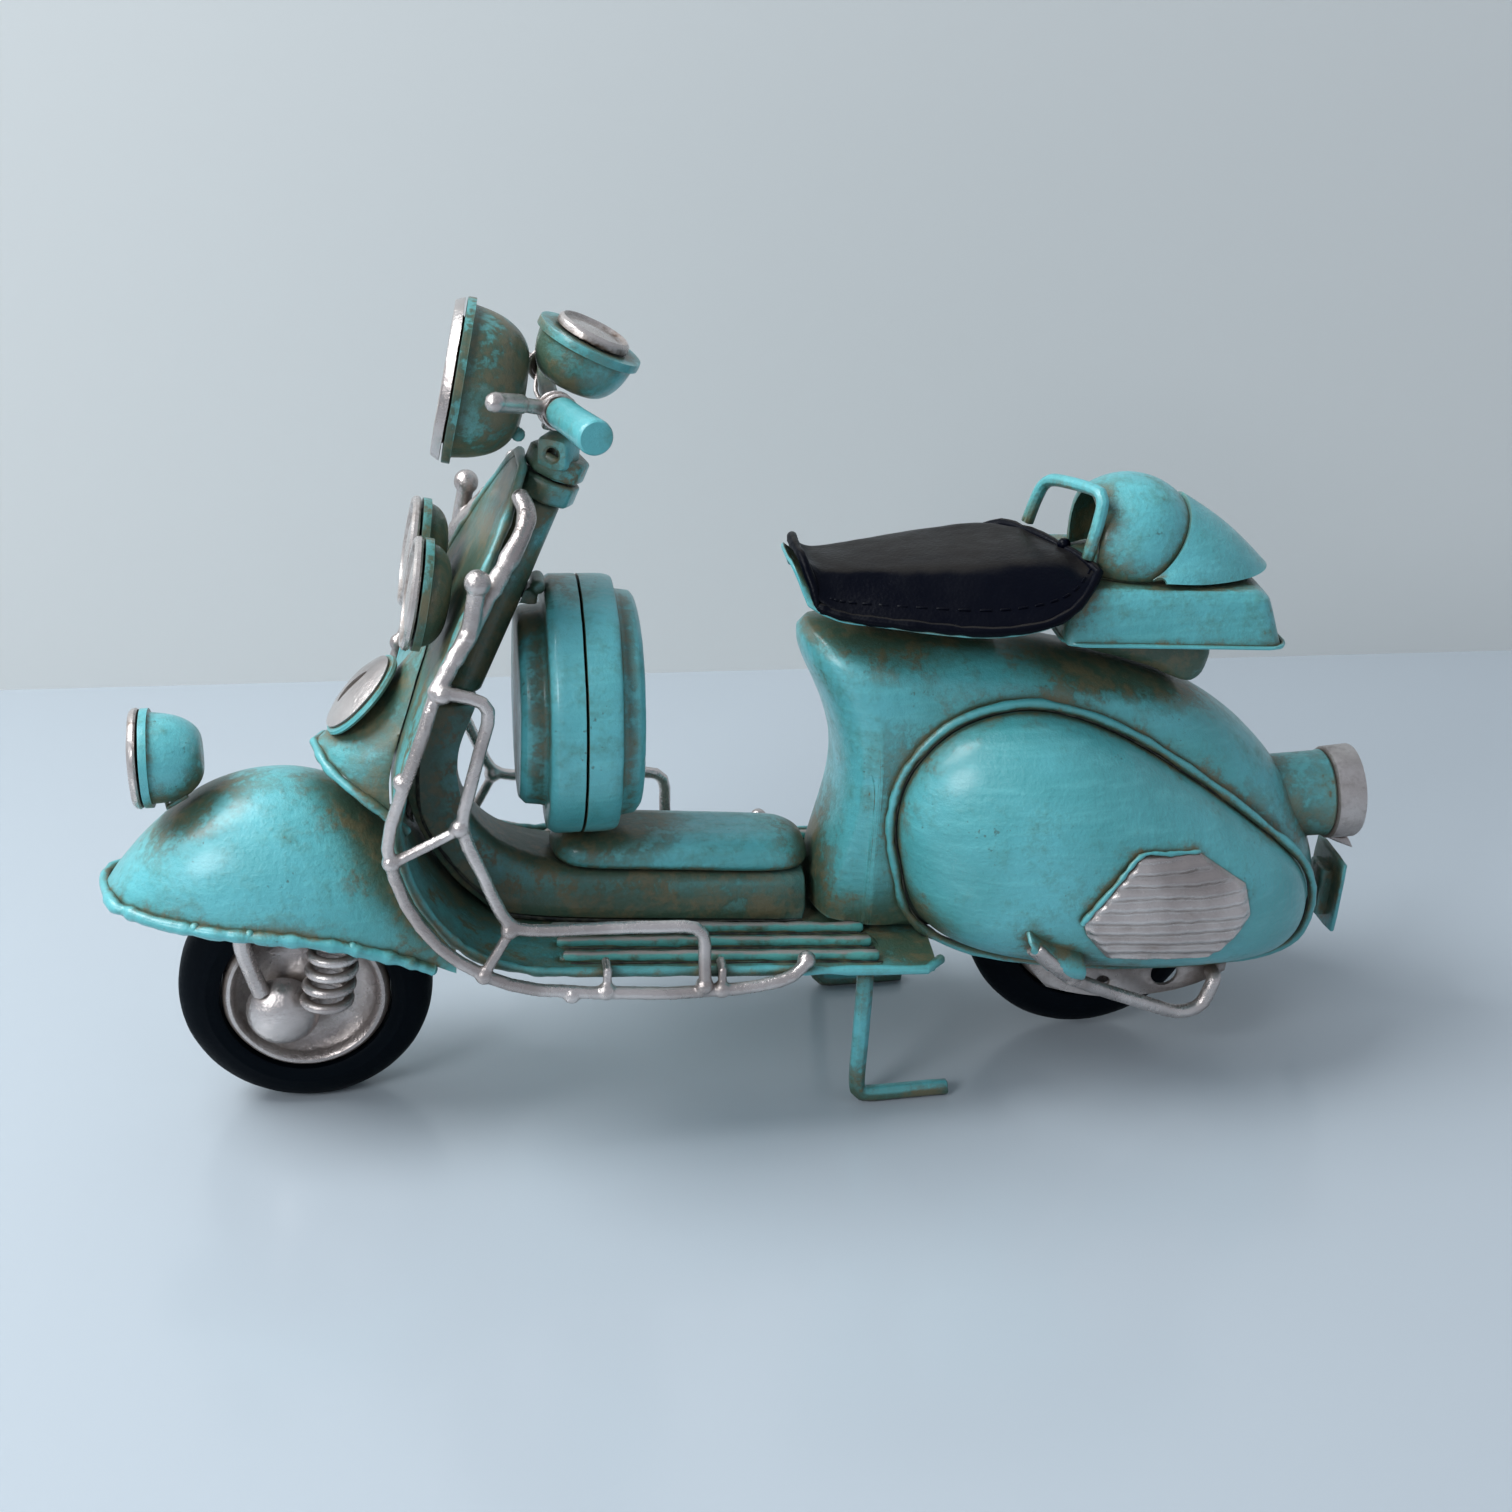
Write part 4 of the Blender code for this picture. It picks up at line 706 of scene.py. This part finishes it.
def clamp_lug():
    """Small square lug in front of the upper nut, with a blind hole."""
    axis = Vector((-0.45, -0.89, 0.0)).normalized()
    across = Vector((axis.y, -axis.x, 0.0))
    up = Vector((0.0, 0.0, 1.0))
    middle = Vector((-26.2, -2.2, 103.1))
    block = [(-2.6, 2.3), (1.4, 2.3), (1.9, 2.0)]
    hole = [(2.0, 1.3), (1.7, 0.95), (0.4, 0.9), (0.4, 0.05)]
    bm = bmesh.new()
    rings = []
    for along, size in block + hole:
        ring = []
        for spoke in spokes(across, up, 48):
            reach = size
            if (along, size) in block:
                reach *= (abs(spoke.dot(across)) ** 5 + abs(spoke.dot(up)) ** 5) ** -0.2
            ring.append(bm.verts.new(middle + axis * along + spoke * reach))
        rings.append(ring)
    ribbon(bm, rings)
    bm.faces.new(rings[0])
    bm.faces.new(rings[-1])
    place("clamp_lug", bm, "turquoise", "steering", 0.1)


def cables():
    """Thin wire from each lever round to the stem, and two turns of wire that clamp the lever."""
    for side, sign in SIDES:
        bm = bmesh.new()
        path = curve([(-28.2, -10.6, 110.4), (-28.6, -8.2, 108.4), (-27.4, -5.2, 107.2), (-26.0, -3.2, 106.8),
                      (-24.9, -1.9, 106.6)])
        add_rod(bm, mirrored(path, sign), 0.33, 8)
        for offset in (1.1, 2.5):
            middle = Vector((-27.6 + 0.27 * offset, -(9.5 + 0.96 * offset), 111.4))
            ring = [middle + spoke * 2.25 for spoke in spokes(Vector((1, 0, 0)), Vector((0, 0, 1)), 24)]
            add_rod(bm, mirrored(ring, sign), 0.3, 8, closed=True)
        place("brake_cable_" + side, bm, "silver", "steering")


def lamp_knob():
    """Small knob low on the back of the headlight."""
    bm = bmesh.new()
    add_ball(bm, (-31.6, -2.6, 105.4), 1.0)
    add_rod(bm, [(-31.6, -2.6, 105.4), (-32.8, -2.4, 107.4)], 0.7, 10)
    place("headlight_knob", bm, "turquoise", "steering", 0.1)


# ---- wheels and spring

def wheel_part(near, far, end):
    """Lathe about the axle of the front or rear wheel: one face's profile, then the other's."""
    bm = bmesh.new()
    profile = near + [(-along, radius) for along, radius in far]
    add_lathe(bm, profile, UNLEVEL @ joint_place(end + "_wheel_spin"), (0, 1, 0), 96)
    return bm


def rims():
    """Pressed rim: rolled bead, groove, dished disc and hub, the same on both faces."""
    face = [(3.5, 1.3), (3.5, 3.0), (3.1, 3.7), (2.3, 5.0), (1.7, 6.6), (1.9, 8.4), (2.6, 9.7), (3.1, 10.2),
            (3.3, 10.35), (4.2, 10.6), (4.6, 11.05), (4.6, 11.55), (4.2, 11.95), (3.6, 12.3)]
    for end in ("front", "rear"):
        bm = wheel_part(face, face[::-1], end)
        place(end + "_rim_pressed", bm, "silver", end + "_wheel", 0.10, replaces=(end + "_rim",))


def tyres():
    """Solid tyre with rounded shoulders and a fine moulding line round each wall."""
    wall = [(4.55, 12.6), (4.75, 12.9), (4.8, 13.6), (4.95, 14.4), (5.0, 14.55), (4.95, 14.7), (4.75, 15.6),
            (4.35, 16.7), (3.6, 17.7), (2.6, 18.35), (1.4, 18.65), (0.0, 18.7)]
    for end in ("front", "rear"):
        bm = wheel_part(wall, wall[-2::-1], end)
        place(end + "_tyre_moulded", bm, "tyre", end + "_wheel", 0.08, replaces=(end + "_tyre",))


def spring():
    """Coil of round wire beside the front wheel."""
    foot, head = Vector((-56.7, -9.6, 20.2)), Vector((-54.9, -9.2, 35.2))
    axis = (head - foot).normalized()
    side = Vector((0, 1, 0))
    other = axis.cross(side)
    turns, steps = 6, 28
    circle = spokes(side, other, steps)
    count = turns * steps
    path = [foot.lerp(head, k / count) + circle[k % steps] * 3.15 for k in range(count + 1)]
    bm = bmesh.new()
    add_rod(bm, path, 0.78, 12)
    place("front_spring_coil", bm, "silver", "steering", 0.04, replaces=("front_spring",))


def hub_dome():
    """Clean domed cap over the end of the front axle."""
    profile = [(-0.6, 0.0), (-0.6, 5.0), (0.0, 5.4)]
    for k in range(1, 10):
        angle = 0.5 * math.pi * k / 9
        profile.append((4.0 * math.sin(angle), 5.4 * math.cos(angle)))
    bm = bmesh.new()
    add_lathe(bm, profile, (-63.0, -5.15, 16.9), (0, -1, 0), 64)
    place("hub_dome", bm, "silver", "steering", 0.12)


# ---- cowls

def cowl_line():
    """Outline of a side cowl in side view."""
    return curve([(29.6, 0, 36.2), (26.0, 0, 45.0), (24.6, 0, 52.6), (26.2, 0, 60.4), (32.4, 0, 67.4),
                  (42.4, 0, 70.2), (54.0, 0, 67.4), (66.8, 0, 60.4), (80.0, 0, 51.6), (88.0, 0, 45.0),
                  (90.0, 0, 37.6), (86.4, 0, 31.4), (73.0, 0, 28.9), (55.0, 0, 29.2), (39.4, 0, 31.2)],
                 closed=True)


def cowl_surface(side, sign, x, z):
    """Outermost y of a cowl at a point of its side view."""
    start = LEVEL @ Vector((x, -60.0 * sign, z))
    inward = LEVEL.to_3x3() @ Vector((0.0, sign, 0.0))
    return (UNLEVEL @ cowl_trees[side].ray_cast(start, inward)[0]).y


def cowl_trim():
    """Wire bead round each cowl, and the dark seam inside it."""
    centre = Vector((55.0, 0.0, 47.0))
    for side, sign in SIDES:
        for name, out, y, radius, slot in (("cowl_bead_", 0.9, 12.3, 0.72, "turquoise"),
                                           ("cowl_seam_", 0.15, 12.6, 0.14, "wash")):
            path = []
            for point in cowl_line():
                away = (point - centre).normalized()
                path.append(point + away * out + Vector((0.0, -y * sign, 0.0)))
            bm = bmesh.new()
            add_rod(bm, path, radius, 12, closed=True, lumps=0.35)
            place(name + side, bm, slot, "frame", 0.10)


GRILLE_CORNERS = ((57.5, 53.0), (67.0, 52.6), (75.0, 47.4), (76.4, 42.6), (74.6, 39.0), (71.6, 35.4),
                  (56.0, 35.2), (51.4, 40.4), (50.4, 43.0), (54.0, 48.4))


def grille_span(z):
    """Where the grille begins and ends at a height."""
    crossings = []
    for (xa, za), (xb, zb) in zip(GRILLE_CORNERS, GRILLE_CORNERS[1:] + GRILLE_CORNERS[:1]):
        if (za - z) * (zb - z) <= 0 and za != zb:
            crossings.append(xa + (xb - xa) * (z - za) / (zb - za))
    return min(crossings), max(crossings)


def grilles():
    """Ribbed silver vent laid over the swell of the cowl, its ribs a little wavy."""
    low_z, high_z = 35.25, 52.95
    rib_pitch = 1.95
    rows, columns = 108, 40
    for side, sign in SIDES:
        bm = bmesh.new()
        grid = []
        for i in range(rows + 1):
            z = low_z + (high_z - low_z) * i / rows
            first, last = grille_span(z)
            line = []
            for k in range(columns + 1):
                x = first + (last - first) * k / columns
                border = min(1.0, k / 2, (columns - k) / 2, i / 3, (rows - i) / 3)
                drift = 0.35 * noise.noise(Vector((x * 0.12, z * 0.2, 3.0)))
                rib = 0.24 * math.sin(2 * math.pi * (z + drift) / rib_pitch)
                dent = 0.22 * noise.noise(Vector((x, z, 0.0)) * 0.5)
                lift = 0.15 + border * (0.70 + rib + dent)
                line.append(bm.verts.new((x, cowl_surface(side, sign, x, z) - sign * lift, z)))
            grid.append(line)
        ribbon(bm, grid, closed=False)
        piece = place("grille_ribbed_" + side, bm, "silver", "frame", replaces=("grille_" + side,))
        thicken(piece, 0.25)
        shade(piece, "silver", 60.0)


# ---- seat

def seat_lines():
    """Middle and left edge of the seat, front to back."""
    ridge = curve([(8.2, 0, 88.6), (9.6, 0, 87.8), (12.6, 0, 87.7), (22.0, 0, 88.7), (33.0, 0, 90.0),
                   (41.0, 0, 91.0), (46.0, 0, 90.8)], 8)
    edge = curve([(10.6, 8.6, 83.4), (12.6, 9.8, 83.0), (15.6, 11.2, 82.8), (22.5, 14.2, 83.0),
                  (31.0, 16.6, 83.4), (38.5, 15.8, 85.6), (45.6, 10.0, 90.0)], 8)
    return ridge, edge


SEAT_FOLD = 0.50  # where the fold lies, from the ridge to the edge
FOLD_REACH, FOLD_FALL = 0.46, 0.05  # how far out and down the sheet has come there
SEAT_SKEW = 0.46  # the back of the seat is cut on the slant


def seat_point(ridge, edge, share, sign, lift=0.0, tuck=0.0):
    """A point of the folded sheet: nearly flat on top, a soft fold, then a steep side."""
    if share < SEAT_FOLD:
        part = share / SEAT_FOLD
        reach, fall = FOLD_REACH * part, FOLD_FALL * part ** 2.0
    else:
        part = (share - SEAT_FOLD) / (1 - SEAT_FOLD)
        reach = FOLD_REACH + (1 - FOLD_REACH) * part ** 0.9
        fall = FOLD_FALL + (1 - FOLD_FALL) * part ** 1.15
    x = ridge.x + (edge.x - ridge.x) * (0.35 * fall + 0.65 * reach ** 2)
    y = -(edge.y - tuck) * reach * sign
    z = ridge.z - (ridge.z - edge.z) * fall + lift
    backward = min(1.0, max(0.0, (x - 14.0) / 30.0))
    return Vector((x - SEAT_SKEW * y * backward, y, z))


def seat_sheet(lift, tuck):
    """One layer of the seat, its front tip turned up."""
    ridge, edge = seat_lines()
    bm = bmesh.new()
    rows = []
    for r, e in zip(ridge, edge):
        tip = max(0.0, 1.0 - (r.x - 8.2) / 3.5)
        row = []
        for k in range(-16, 17):
            point = seat_point(r, e, abs(k) / 16, 1 if k < 0 else -1, lift, tuck)
            row.append(bm.verts.new(point + Vector((min(lift, 0.0) * 2.2 * tip, 0.0, 0.9 * tip ** 2))))
        rows.append(row)
    ribbon(bm, rows, closed=False)
    return bm


def seat():
    """Folded seat: black sheet over a turquoise lining, with piping and a sewn hem."""
    for name, lift, tuck, slot, replaces in (("seat_cover", 0.25, 0.0, "seat_black", ("seat",)),
                                             ("seat_lining", -0.65, -0.1, "turquoise", ())):
        piece = place(name, seat_sheet(lift, tuck), slot, "frame", replaces=replaces)
        thicken(piece, 0.6, 1)
        wobble(piece.data, 0.16, 9.0)
        wobble(piece.data, 0.05, 2.2)
        shade(piece, slot)
    ridge, edge = seat_lines()
    left, right = ([seat_point(r, e, 1.0, sign, 0.3) for r, e in zip(ridge, edge)] for sign in (1, -1))
    across = [k / 8 for k in range(-7, 9)]
    back = [seat_point(ridge[-1], edge[-1], abs(k), 1 if k < 0 else -1, 0.35) for k in across]
    front = [seat_point(ridge[0], edge[0], abs(k), -1 if k < 0 else 1, 1.25) for k in across[:-1]]
    bm = bmesh.new()
    add_rod(bm, left + back + right[-2::-1] + front, 0.72, 12, closed=True, lumps=0.35)
    add_ball(bm, seat_point(ridge[-1], edge[-1], 0.25, 1, 0.9), 1.0)
    place("seat_piping", bm, "seat_black", "frame", 0.12)
    stitches = bmesh.new()
    for sign in (1, -1):
        seam = [seat_point(r, e, 0.86, sign, 0.62) for r, e in zip(ridge, edge)]
        for start, end in zip(seam[::2], seam[1::2]):
            add_rod(stitches, [start, start.lerp(end, 0.5), end], 0.2, 6)
    place("seat_stitches", stitches, "seat_black", "frame")


# ---- helmet and box

def visor():
    """Sheet that springs off the back of the helmet and runs down to the rear of the box."""
    centre = Vector((57.0, 0.0, 91.8))
    radius = 10.3
    top = (Vector((64.4, 0.0, 99.2)) - centre).normalized()
    foot = (Vector((58.6, -10.6, 88.9)) - centre).normalized()
    bm = bmesh.new()
    rows = []
    columns = 28
    for k in range(-columns, columns + 1):
        share = abs(k) / columns
        sign = 1 if k < 0 else -1
        heading = top.slerp(foot, share)
        start = centre + heading * radius
        angle = math.radians(90.0 * share)
        end = Vector((60.2 + 18.2 * math.cos(angle), -11.0 * math.sin(angle), 89.1))
        row = []
        for i in range(13):
            t = i / 12
            point = start.lerp(end, t) + Vector((0.25, 0.0, 0.55)) * math.sin(math.pi * t)
            out = (point - centre).length
            if out < radius:
                point = centre + (point - centre) * (radius / out)
            row.append(bm.verts.new((point.x, point.y * sign, point.z)))
        rows.append(row)
    ribbon(bm, rows, closed=False)
    piece = place("helmet_visor", bm, "turquoise", "frame", replaces=("helmet_peak",))
    thicken(piece, 0.55)
    wobble(piece.data, 0.15, 8.0)
    shade(piece, "turquoise")


def box_hem():
    """Lower edge of the rear box, pressed outwards."""
    low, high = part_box("rear_box")
    half = (high.y - low.y) / 2 / MM
    front, back, z, corner = 45.6, 79.0, 80.7, 3.0
    path = []
    for cx, cy, start in ((back - corner, half - corner, 0), (front + corner, half - corner, 90),
                          (front + corner, corner - half, 180), (back - corner, corner - half, 270)):
        for k in range(9):
            angle = math.radians(start + 90 * k / 8)
            path.append(Vector((cx + corner * math.cos(angle), cy + corner * math.sin(angle), z)))
    bm = bmesh.new()
    add_rod(bm, path, 0.28, 8, closed=True, lumps=0.4)
    place("rear_box_hem", bm, "turquoise", "frame", 0.12)


# ---- tail, grips, fender, vent lips and levers

def tail_barrel():
    """Plain tube that runs into the tail, and the silver band round its end."""
    axis = Vector((math.cos(PITCH), 0.0, math.sin(PITCH)))
    face = Vector((99.4, 0.0, 51.8))
    tube = [(-17.0, 6.5), (-5.2, 6.6), (-4.9, 6.75), (-4.6, 6.6), (-4.5, 6.2), (-4.7, 5.8), (-17.0, 5.7)]
    bm = bmesh.new()
    add_lathe(bm, tube, face, axis)
    place("tail_light_barrel", bm, "turquoise", "frame", 0.10, replaces=("tail_light_tube",))
    band = [(-4.5, 6.5), (-4.4, 6.9), (-4.2, 7.15), (-0.3, 7.25), (0.0, 7.1), (0.1, 6.7), (-0.2, 6.3),
            (-4.2, 6.25)]
    bm = bmesh.new()
    add_lathe(bm, band, face, axis)
    place("tail_light_band", bm, "silver", "frame", 0.12, replaces=("tail_light_ring",))


def grips():
    """Tapered grips with a flat, slightly rounded end."""
    for side, sign in SIDES:
        start = Vector((-27.6, -9.5 * sign, 111.4))
        along = Vector((4.0, -15.0 * sign, 0.8)).normalized()
        profile = [(3.2, 1.4), (3.2, 1.9), (3.4, 2.1), (3.8, 2.15), (9.0, 2.2), (15.9, 2.38), (16.4, 2.32),
                   (16.65, 2.1), (16.7, 1.6), (16.7, 0.0), (3.2, 0.0)]
        bm = bmesh.new()
        add_lathe(bm, profile, start, along, 48)
        place("grip_tapered_" + side, bm, "turquoise", "steering", 0.08, replaces=("grip_" + side,))


def fender_hem():
    """Rolled bead under the fender's edge, lumpy where it was soldered."""
    edge = curve([(-86.4, -5.6, 35.7), (-81.6, -9.8, 35.5), (-74.6, -12.9, 35.4), (-67.0, -14.6, 35.2),
                  (-59.0, -15.0, 34.6), (-51.5, -14.8, 33.0), (-44.5, -14.2, 30.6), (-41.2, -13.8, 29.2)])
    side = [point + Vector((-0.25, -0.2, -0.62)) for point in edge]
    path = side[::-1] + [Vector((-88.5, -3.0, 35.1)), Vector((-89.0, 0.0, 35.1)), Vector((-88.5, 3.0, 35.1))]
    path += mirrored(side, -1)
    bm = bmesh.new()
    add_rod(bm, curve(path[::3] + [path[-1]], 6), 0.95, 12, lumps=0.35)
    for k, sign in ((0.3, 1), (0.45, 1), (0.62, -1), (0.7, 1), (0.85, -1), (0.5, -1)):
        blob = side[int(k * (len(side) - 1))]
        add_ball(bm, (blob.x, blob.y * sign, blob.z + 0.4), 0.75)
    place("fender_hem_rolled", bm, "turquoise", "frame", 0.15, replaces=("fender_hem",))
    seam = [point + Vector((-0.1, -0.35, -0.15)) for point in edge]
    for side_name, sign in SIDES:
        wash = bmesh.new()
        add_rod(wash, mirrored(seam, sign), 0.26, 6, lumps=0.8)
        place("fender_seam_" + side_name, wash, "wash", "frame", 0.1)


def grille_edges():
    """Turned-up turquoise lip along the front of each vent."""
    for side, sign in SIDES:
        line = curve([(50.2, 0, 42.6), (50.6, 0, 43.6), (53.8, 0, 48.6), (57.3, 0, 53.2), (62.0, 0, 53.2),
                      (67.0, 0, 52.9)])
        path = [(x, cowl_surface(side, sign, x, z) - 0.55 * sign, z) for x, _, z in line]
        bm = bmesh.new()
        add_rod(bm, path, 0.38, 10, lumps=0.8)
        place("grille_lip_" + side, bm, "turquoise", "frame", 0.1)


def kick_pedal():
    """Folded turquoise blade pressed on the end of the kick lever."""
    tip, heel = Vector((43.2, -24.6, 38.6)), Vector((52.6, -23.4, 33.6))
    bm = bmesh.new()
    rows = []
    for k in range(13):
        along = k / 12
        width = 0.5 + 2.9 * math.sin(math.pi * min(1.0, 0.12 + 0.62 * along)) ** 0.7
        spine = tip.lerp(heel, along) + Vector((0.0, 0.0, -0.9 * math.sin(math.pi * along)))
        row = []
        for i in range(-6, 7):
            across = i / 6
            bend = 0.75 * width * abs(across) ** 1.4 - 0.6
            row.append(bm.verts.new(spine + Vector((-0.25 * width * across, bend, 0.85 * width * across))))
        rows.append(row)
    ribbon(bm, rows, closed=False)
    piece = place("kick_pedal", bm, "turquoise", "kick")
    thicken(piece, 0.9, 1)
    wobble(piece.data, 0.12, 3.0)
    shade(piece, "turquoise")


def lever_tips():
    """Fat rounded ends of the brake levers."""
    for side, sign in SIDES:
        bm = bmesh.new()
        path = mirrored(curve([(-32.0, -13.2, 112.7), (-33.6, -15.4, 113.4), (-35.6, -18.3, 114.3)], 5), sign)
        add_rod(bm, path, 1.3, 14)
        add_ball(bm, path[-1], 1.42)
        place("lever_tip_" + side, bm, "silver", "steering", 0.1)


def tail_lip():
    """Pointed lip where the tail band's ends meet."""
    bm = bmesh.new()
    outline = [(95.6, 44.6), (100.2, 44.2), (101.4, 42.3), (98.4, 43.4)]
    first = [bm.verts.new((x, -1.5, z)) for x, z in outline]
    second = [bm.verts.new((x, 1.5, z)) for x, z in outline]
    ribbon(bm, [first, second])
    bm.faces.new(first)
    bm.faces.new(second)
    piece = place("tail_band_lip", bm, "silver", "frame")
    rounding = piece.modifiers.new("rounding", "BEVEL")
    rounding.width = 0.3 * MM
    rounding.segments = 3
    freeze(piece)
    shade(piece, "silver")


# ---- guards

def guard_rail():
    """The left guard's thick upper wire, from the column down to the corner."""
    return curve([(-31.4, -8.4, 98.7), (-30.5, -10.4, 97.0), (-31.2, -12.8, 94.7), (-33.6, -15.9, 91.0),
                  (-35.8, -18.2, 87.8), (-38.0, -20.7, 83.8), (-40.5, -22.9, 80.0), (-42.4, -24.4, 76.4)], 4)


def guards():
    """Wire guards, thicker at the top, with a blob of solder at every joint."""
    joints = [(-41.6, -25.0, 76.6), (-38.9, -25.0, 57.0), (-47.9, -25.0, 51.8), (-31.6, -25.0, 41.4),
              (-34.9, -25.0, 34.2), (-3.8, -25.0, 32.4), (-17.6, -24.8, 31.4), (-1.2, -24.8, 31.6),
              (-22.5, -24.8, 30.9), (-46.6, -24.6, 63.6), (-38.4, -21.2, 83.4), (11.0, -22.9, 35.2)]
    for side, sign in SIDES:
        extra = bmesh.new()
        add_rod(extra, mirrored(guard_rail(), sign), 1.15, 12, lumps=0.3)
        add_rod(extra, mirrored([(-38.2, -21.0, 83.4), (-37.3, -20.7, 90.4)], sign), 1.1, 12)
        for place_at in mirrored(joints, sign):
            add_ball(extra, place_at, 1.25)
        add_ball(extra, mirrored([(-37.3, -20.7, 90.7)], sign)[0], 1.75)
        melted("crash_bar_" + side, 0.26, 0.15, 3, extra)


# ---- the finished scooter

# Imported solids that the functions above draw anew, and those that are melted; the rest are refined.
REBUILT = {"horn_disc", "spot_lamp_front_left", "spot_lamp_front_right", "fender_lamp_front", "front_rim",
           "rear_rim", "front_tyre", "rear_tyre", "front_spring", "grille_left", "grille_right", "seat",
           "helmet_peak", "crash_bar_left", "crash_bar_right", "tail_light_tube", "tail_light_ring",
           "grip_left", "grip_right", "fender_hem"}
SOLDERED = {"kick_lever", "brake_lever_left", "brake_lever_right", "fork", "spare_bracket"}
cowl_trees = {}  # search tree of each finished cowl, by side
for name in sorted(frame["nodes"]):
    if name in REBUILT:
        continue
    if name in SOLDERED:
        melted(name, 0.24, 0.05, 4)
    else:
        piece = refined(name)
        if name.startswith("cowl_"):
            bpy.context.view_layer.update()
            graph = bpy.context.evaluated_depsgraph_get()
            cowl_trees[name.removeprefix("cowl_")] = BVHTree.FromObject(piece, graph)

rolled_edges()
tread_strips()
tunnel_seams()
nose_bead()
horn()
lamps()
clamp_lug()
cables()
lamp_knob()
rims()
tyres()
spring()
hub_dome()
cowl_trim()
grilles()
seat()
visor()
box_hem()
tail_barrel()
grips()
fender_hem()
grille_edges()
kick_pedal()
lever_tips()
tail_lip()
guards()


# ---- studio

DAYLIGHT = (0.93, 0.97, 1.0)
SKY = (0.80, 0.88, 1.0, 1.0)
SKY_STRENGTH = 0.47
AIM = (0.0, 0.0, 0.05)  # both studio lights point at the middle of the scooter
TABLE = 2.0  # half size of the table; the studio is in metres
WALL_FOOT = (-0.1364, 0.1636, 0.0), (0.189, 0.132, 0.0)
WALL_REACH, WALL_HEIGHT = 1.2, 0.45


def plain(name, colour, roughness, one_sided=False):
    """Plain paint, invisible from behind if one-sided."""
    p = Paint(name)
    p.finish(colour, roughness)
    if one_sided:
        clear = p.tree.nodes.new("ShaderNodeBsdfTransparent")
        swap = p.tree.nodes.new("ShaderNodeMixShader")
        back = p.tree.nodes.new("ShaderNodeNewGeometry").outputs["Backfacing"]
        p.tree.links.new(back, swap.inputs[0])
        p.tree.links.new(p.shader.outputs[0], swap.inputs[1])
        p.tree.links.new(clear.outputs[0], swap.inputs[2])
        p.tree.links.new(swap.outputs[0], p.tree.nodes["Material Output"].inputs["Surface"])
    return p.material


def sheet(name, corners, material):
    bm = bmesh.new()
    bm.faces.new([bm.verts.new(corner) for corner in corners])
    piece = new_piece(name, bm)
    piece.data.materials.append(material)


def lamp(name, position, size, power):
    light = bpy.data.lights.new(name, "AREA")
    light.shape = "DISK"
    light.size = size
    light.energy = power
    light.color = DAYLIGHT
    holder = bpy.data.objects.new(name, light)
    bpy.context.scene.collection.objects.link(holder)
    holder.location = position
    holder.rotation_euler = (Vector(AIM) - Vector(position)).to_track_quat("-Z", "Y").to_euler()


def studio():
    """White table, low grey wall behind it, a window at the left and a weak fill."""
    sheet("floor", [(-TABLE, -TABLE, 0.0), (TABLE, -TABLE, 0.0), (TABLE, TABLE, 0.0), (-TABLE, TABLE, 0.0)],
          plain("table_white", (0.44, 0.485, 0.525), 0.20))
    left, right = (Vector(corner) for corner in WALL_FOOT)
    along = (right - left).normalized() * WALL_REACH
    rise = Vector((0.0, 0.0, WALL_HEIGHT))
    a, b = left - along, right + along
    sheet("wall", [a, b, b + rise, a + rise], plain("wall_grey", (0.66, 0.675, 0.665), 0.8, one_sided=True))
    lamp("window", (-0.48, 0.04, 0.70), 0.50, 6.6)
    lamp("fill", (-0.62, -0.55, 0.50), 0.34, 3.2)
    world = bpy.data.worlds.new("soft_room")
    world.use_nodes = True
    background = world.node_tree.nodes["Background"]
    background.inputs["Color"].default_value = SKY
    background.inputs["Strength"].default_value = SKY_STRENGTH
    bpy.context.scene.world = world


EYE = Vector((-43.325, -303.3, 196.5)) * MM
HEADING, DIP, ROLL = (math.radians(angle) for angle in (8.4478, 25.4346, 0.3609))
FOCAL_LENGTH, SENSOR_WIDTH = 54.76, 36.0


def camera():
    """Long lens, from the front left and above."""
    lens = bpy.data.cameras.new("camera")
    lens.lens = FOCAL_LENGTH
    lens.sensor_width = SENSOR_WIDTH
    lens.clip_start = 0.01
    holder = bpy.data.objects.new("camera", lens)
    bpy.context.scene.collection.objects.link(holder)
    holder.matrix_world = (Matrix.Translation(EYE) @ Matrix.Rotation(-HEADING, 4, "Z")
                           @ Matrix.Rotation(math.pi / 2 - DIP, 4, "X") @ Matrix.Rotation(-ROLL, 4, "Z"))
    bpy.context.scene.camera = holder


studio()
camera()
bpy.context.scene.view_settings.view_transform = "Standard"
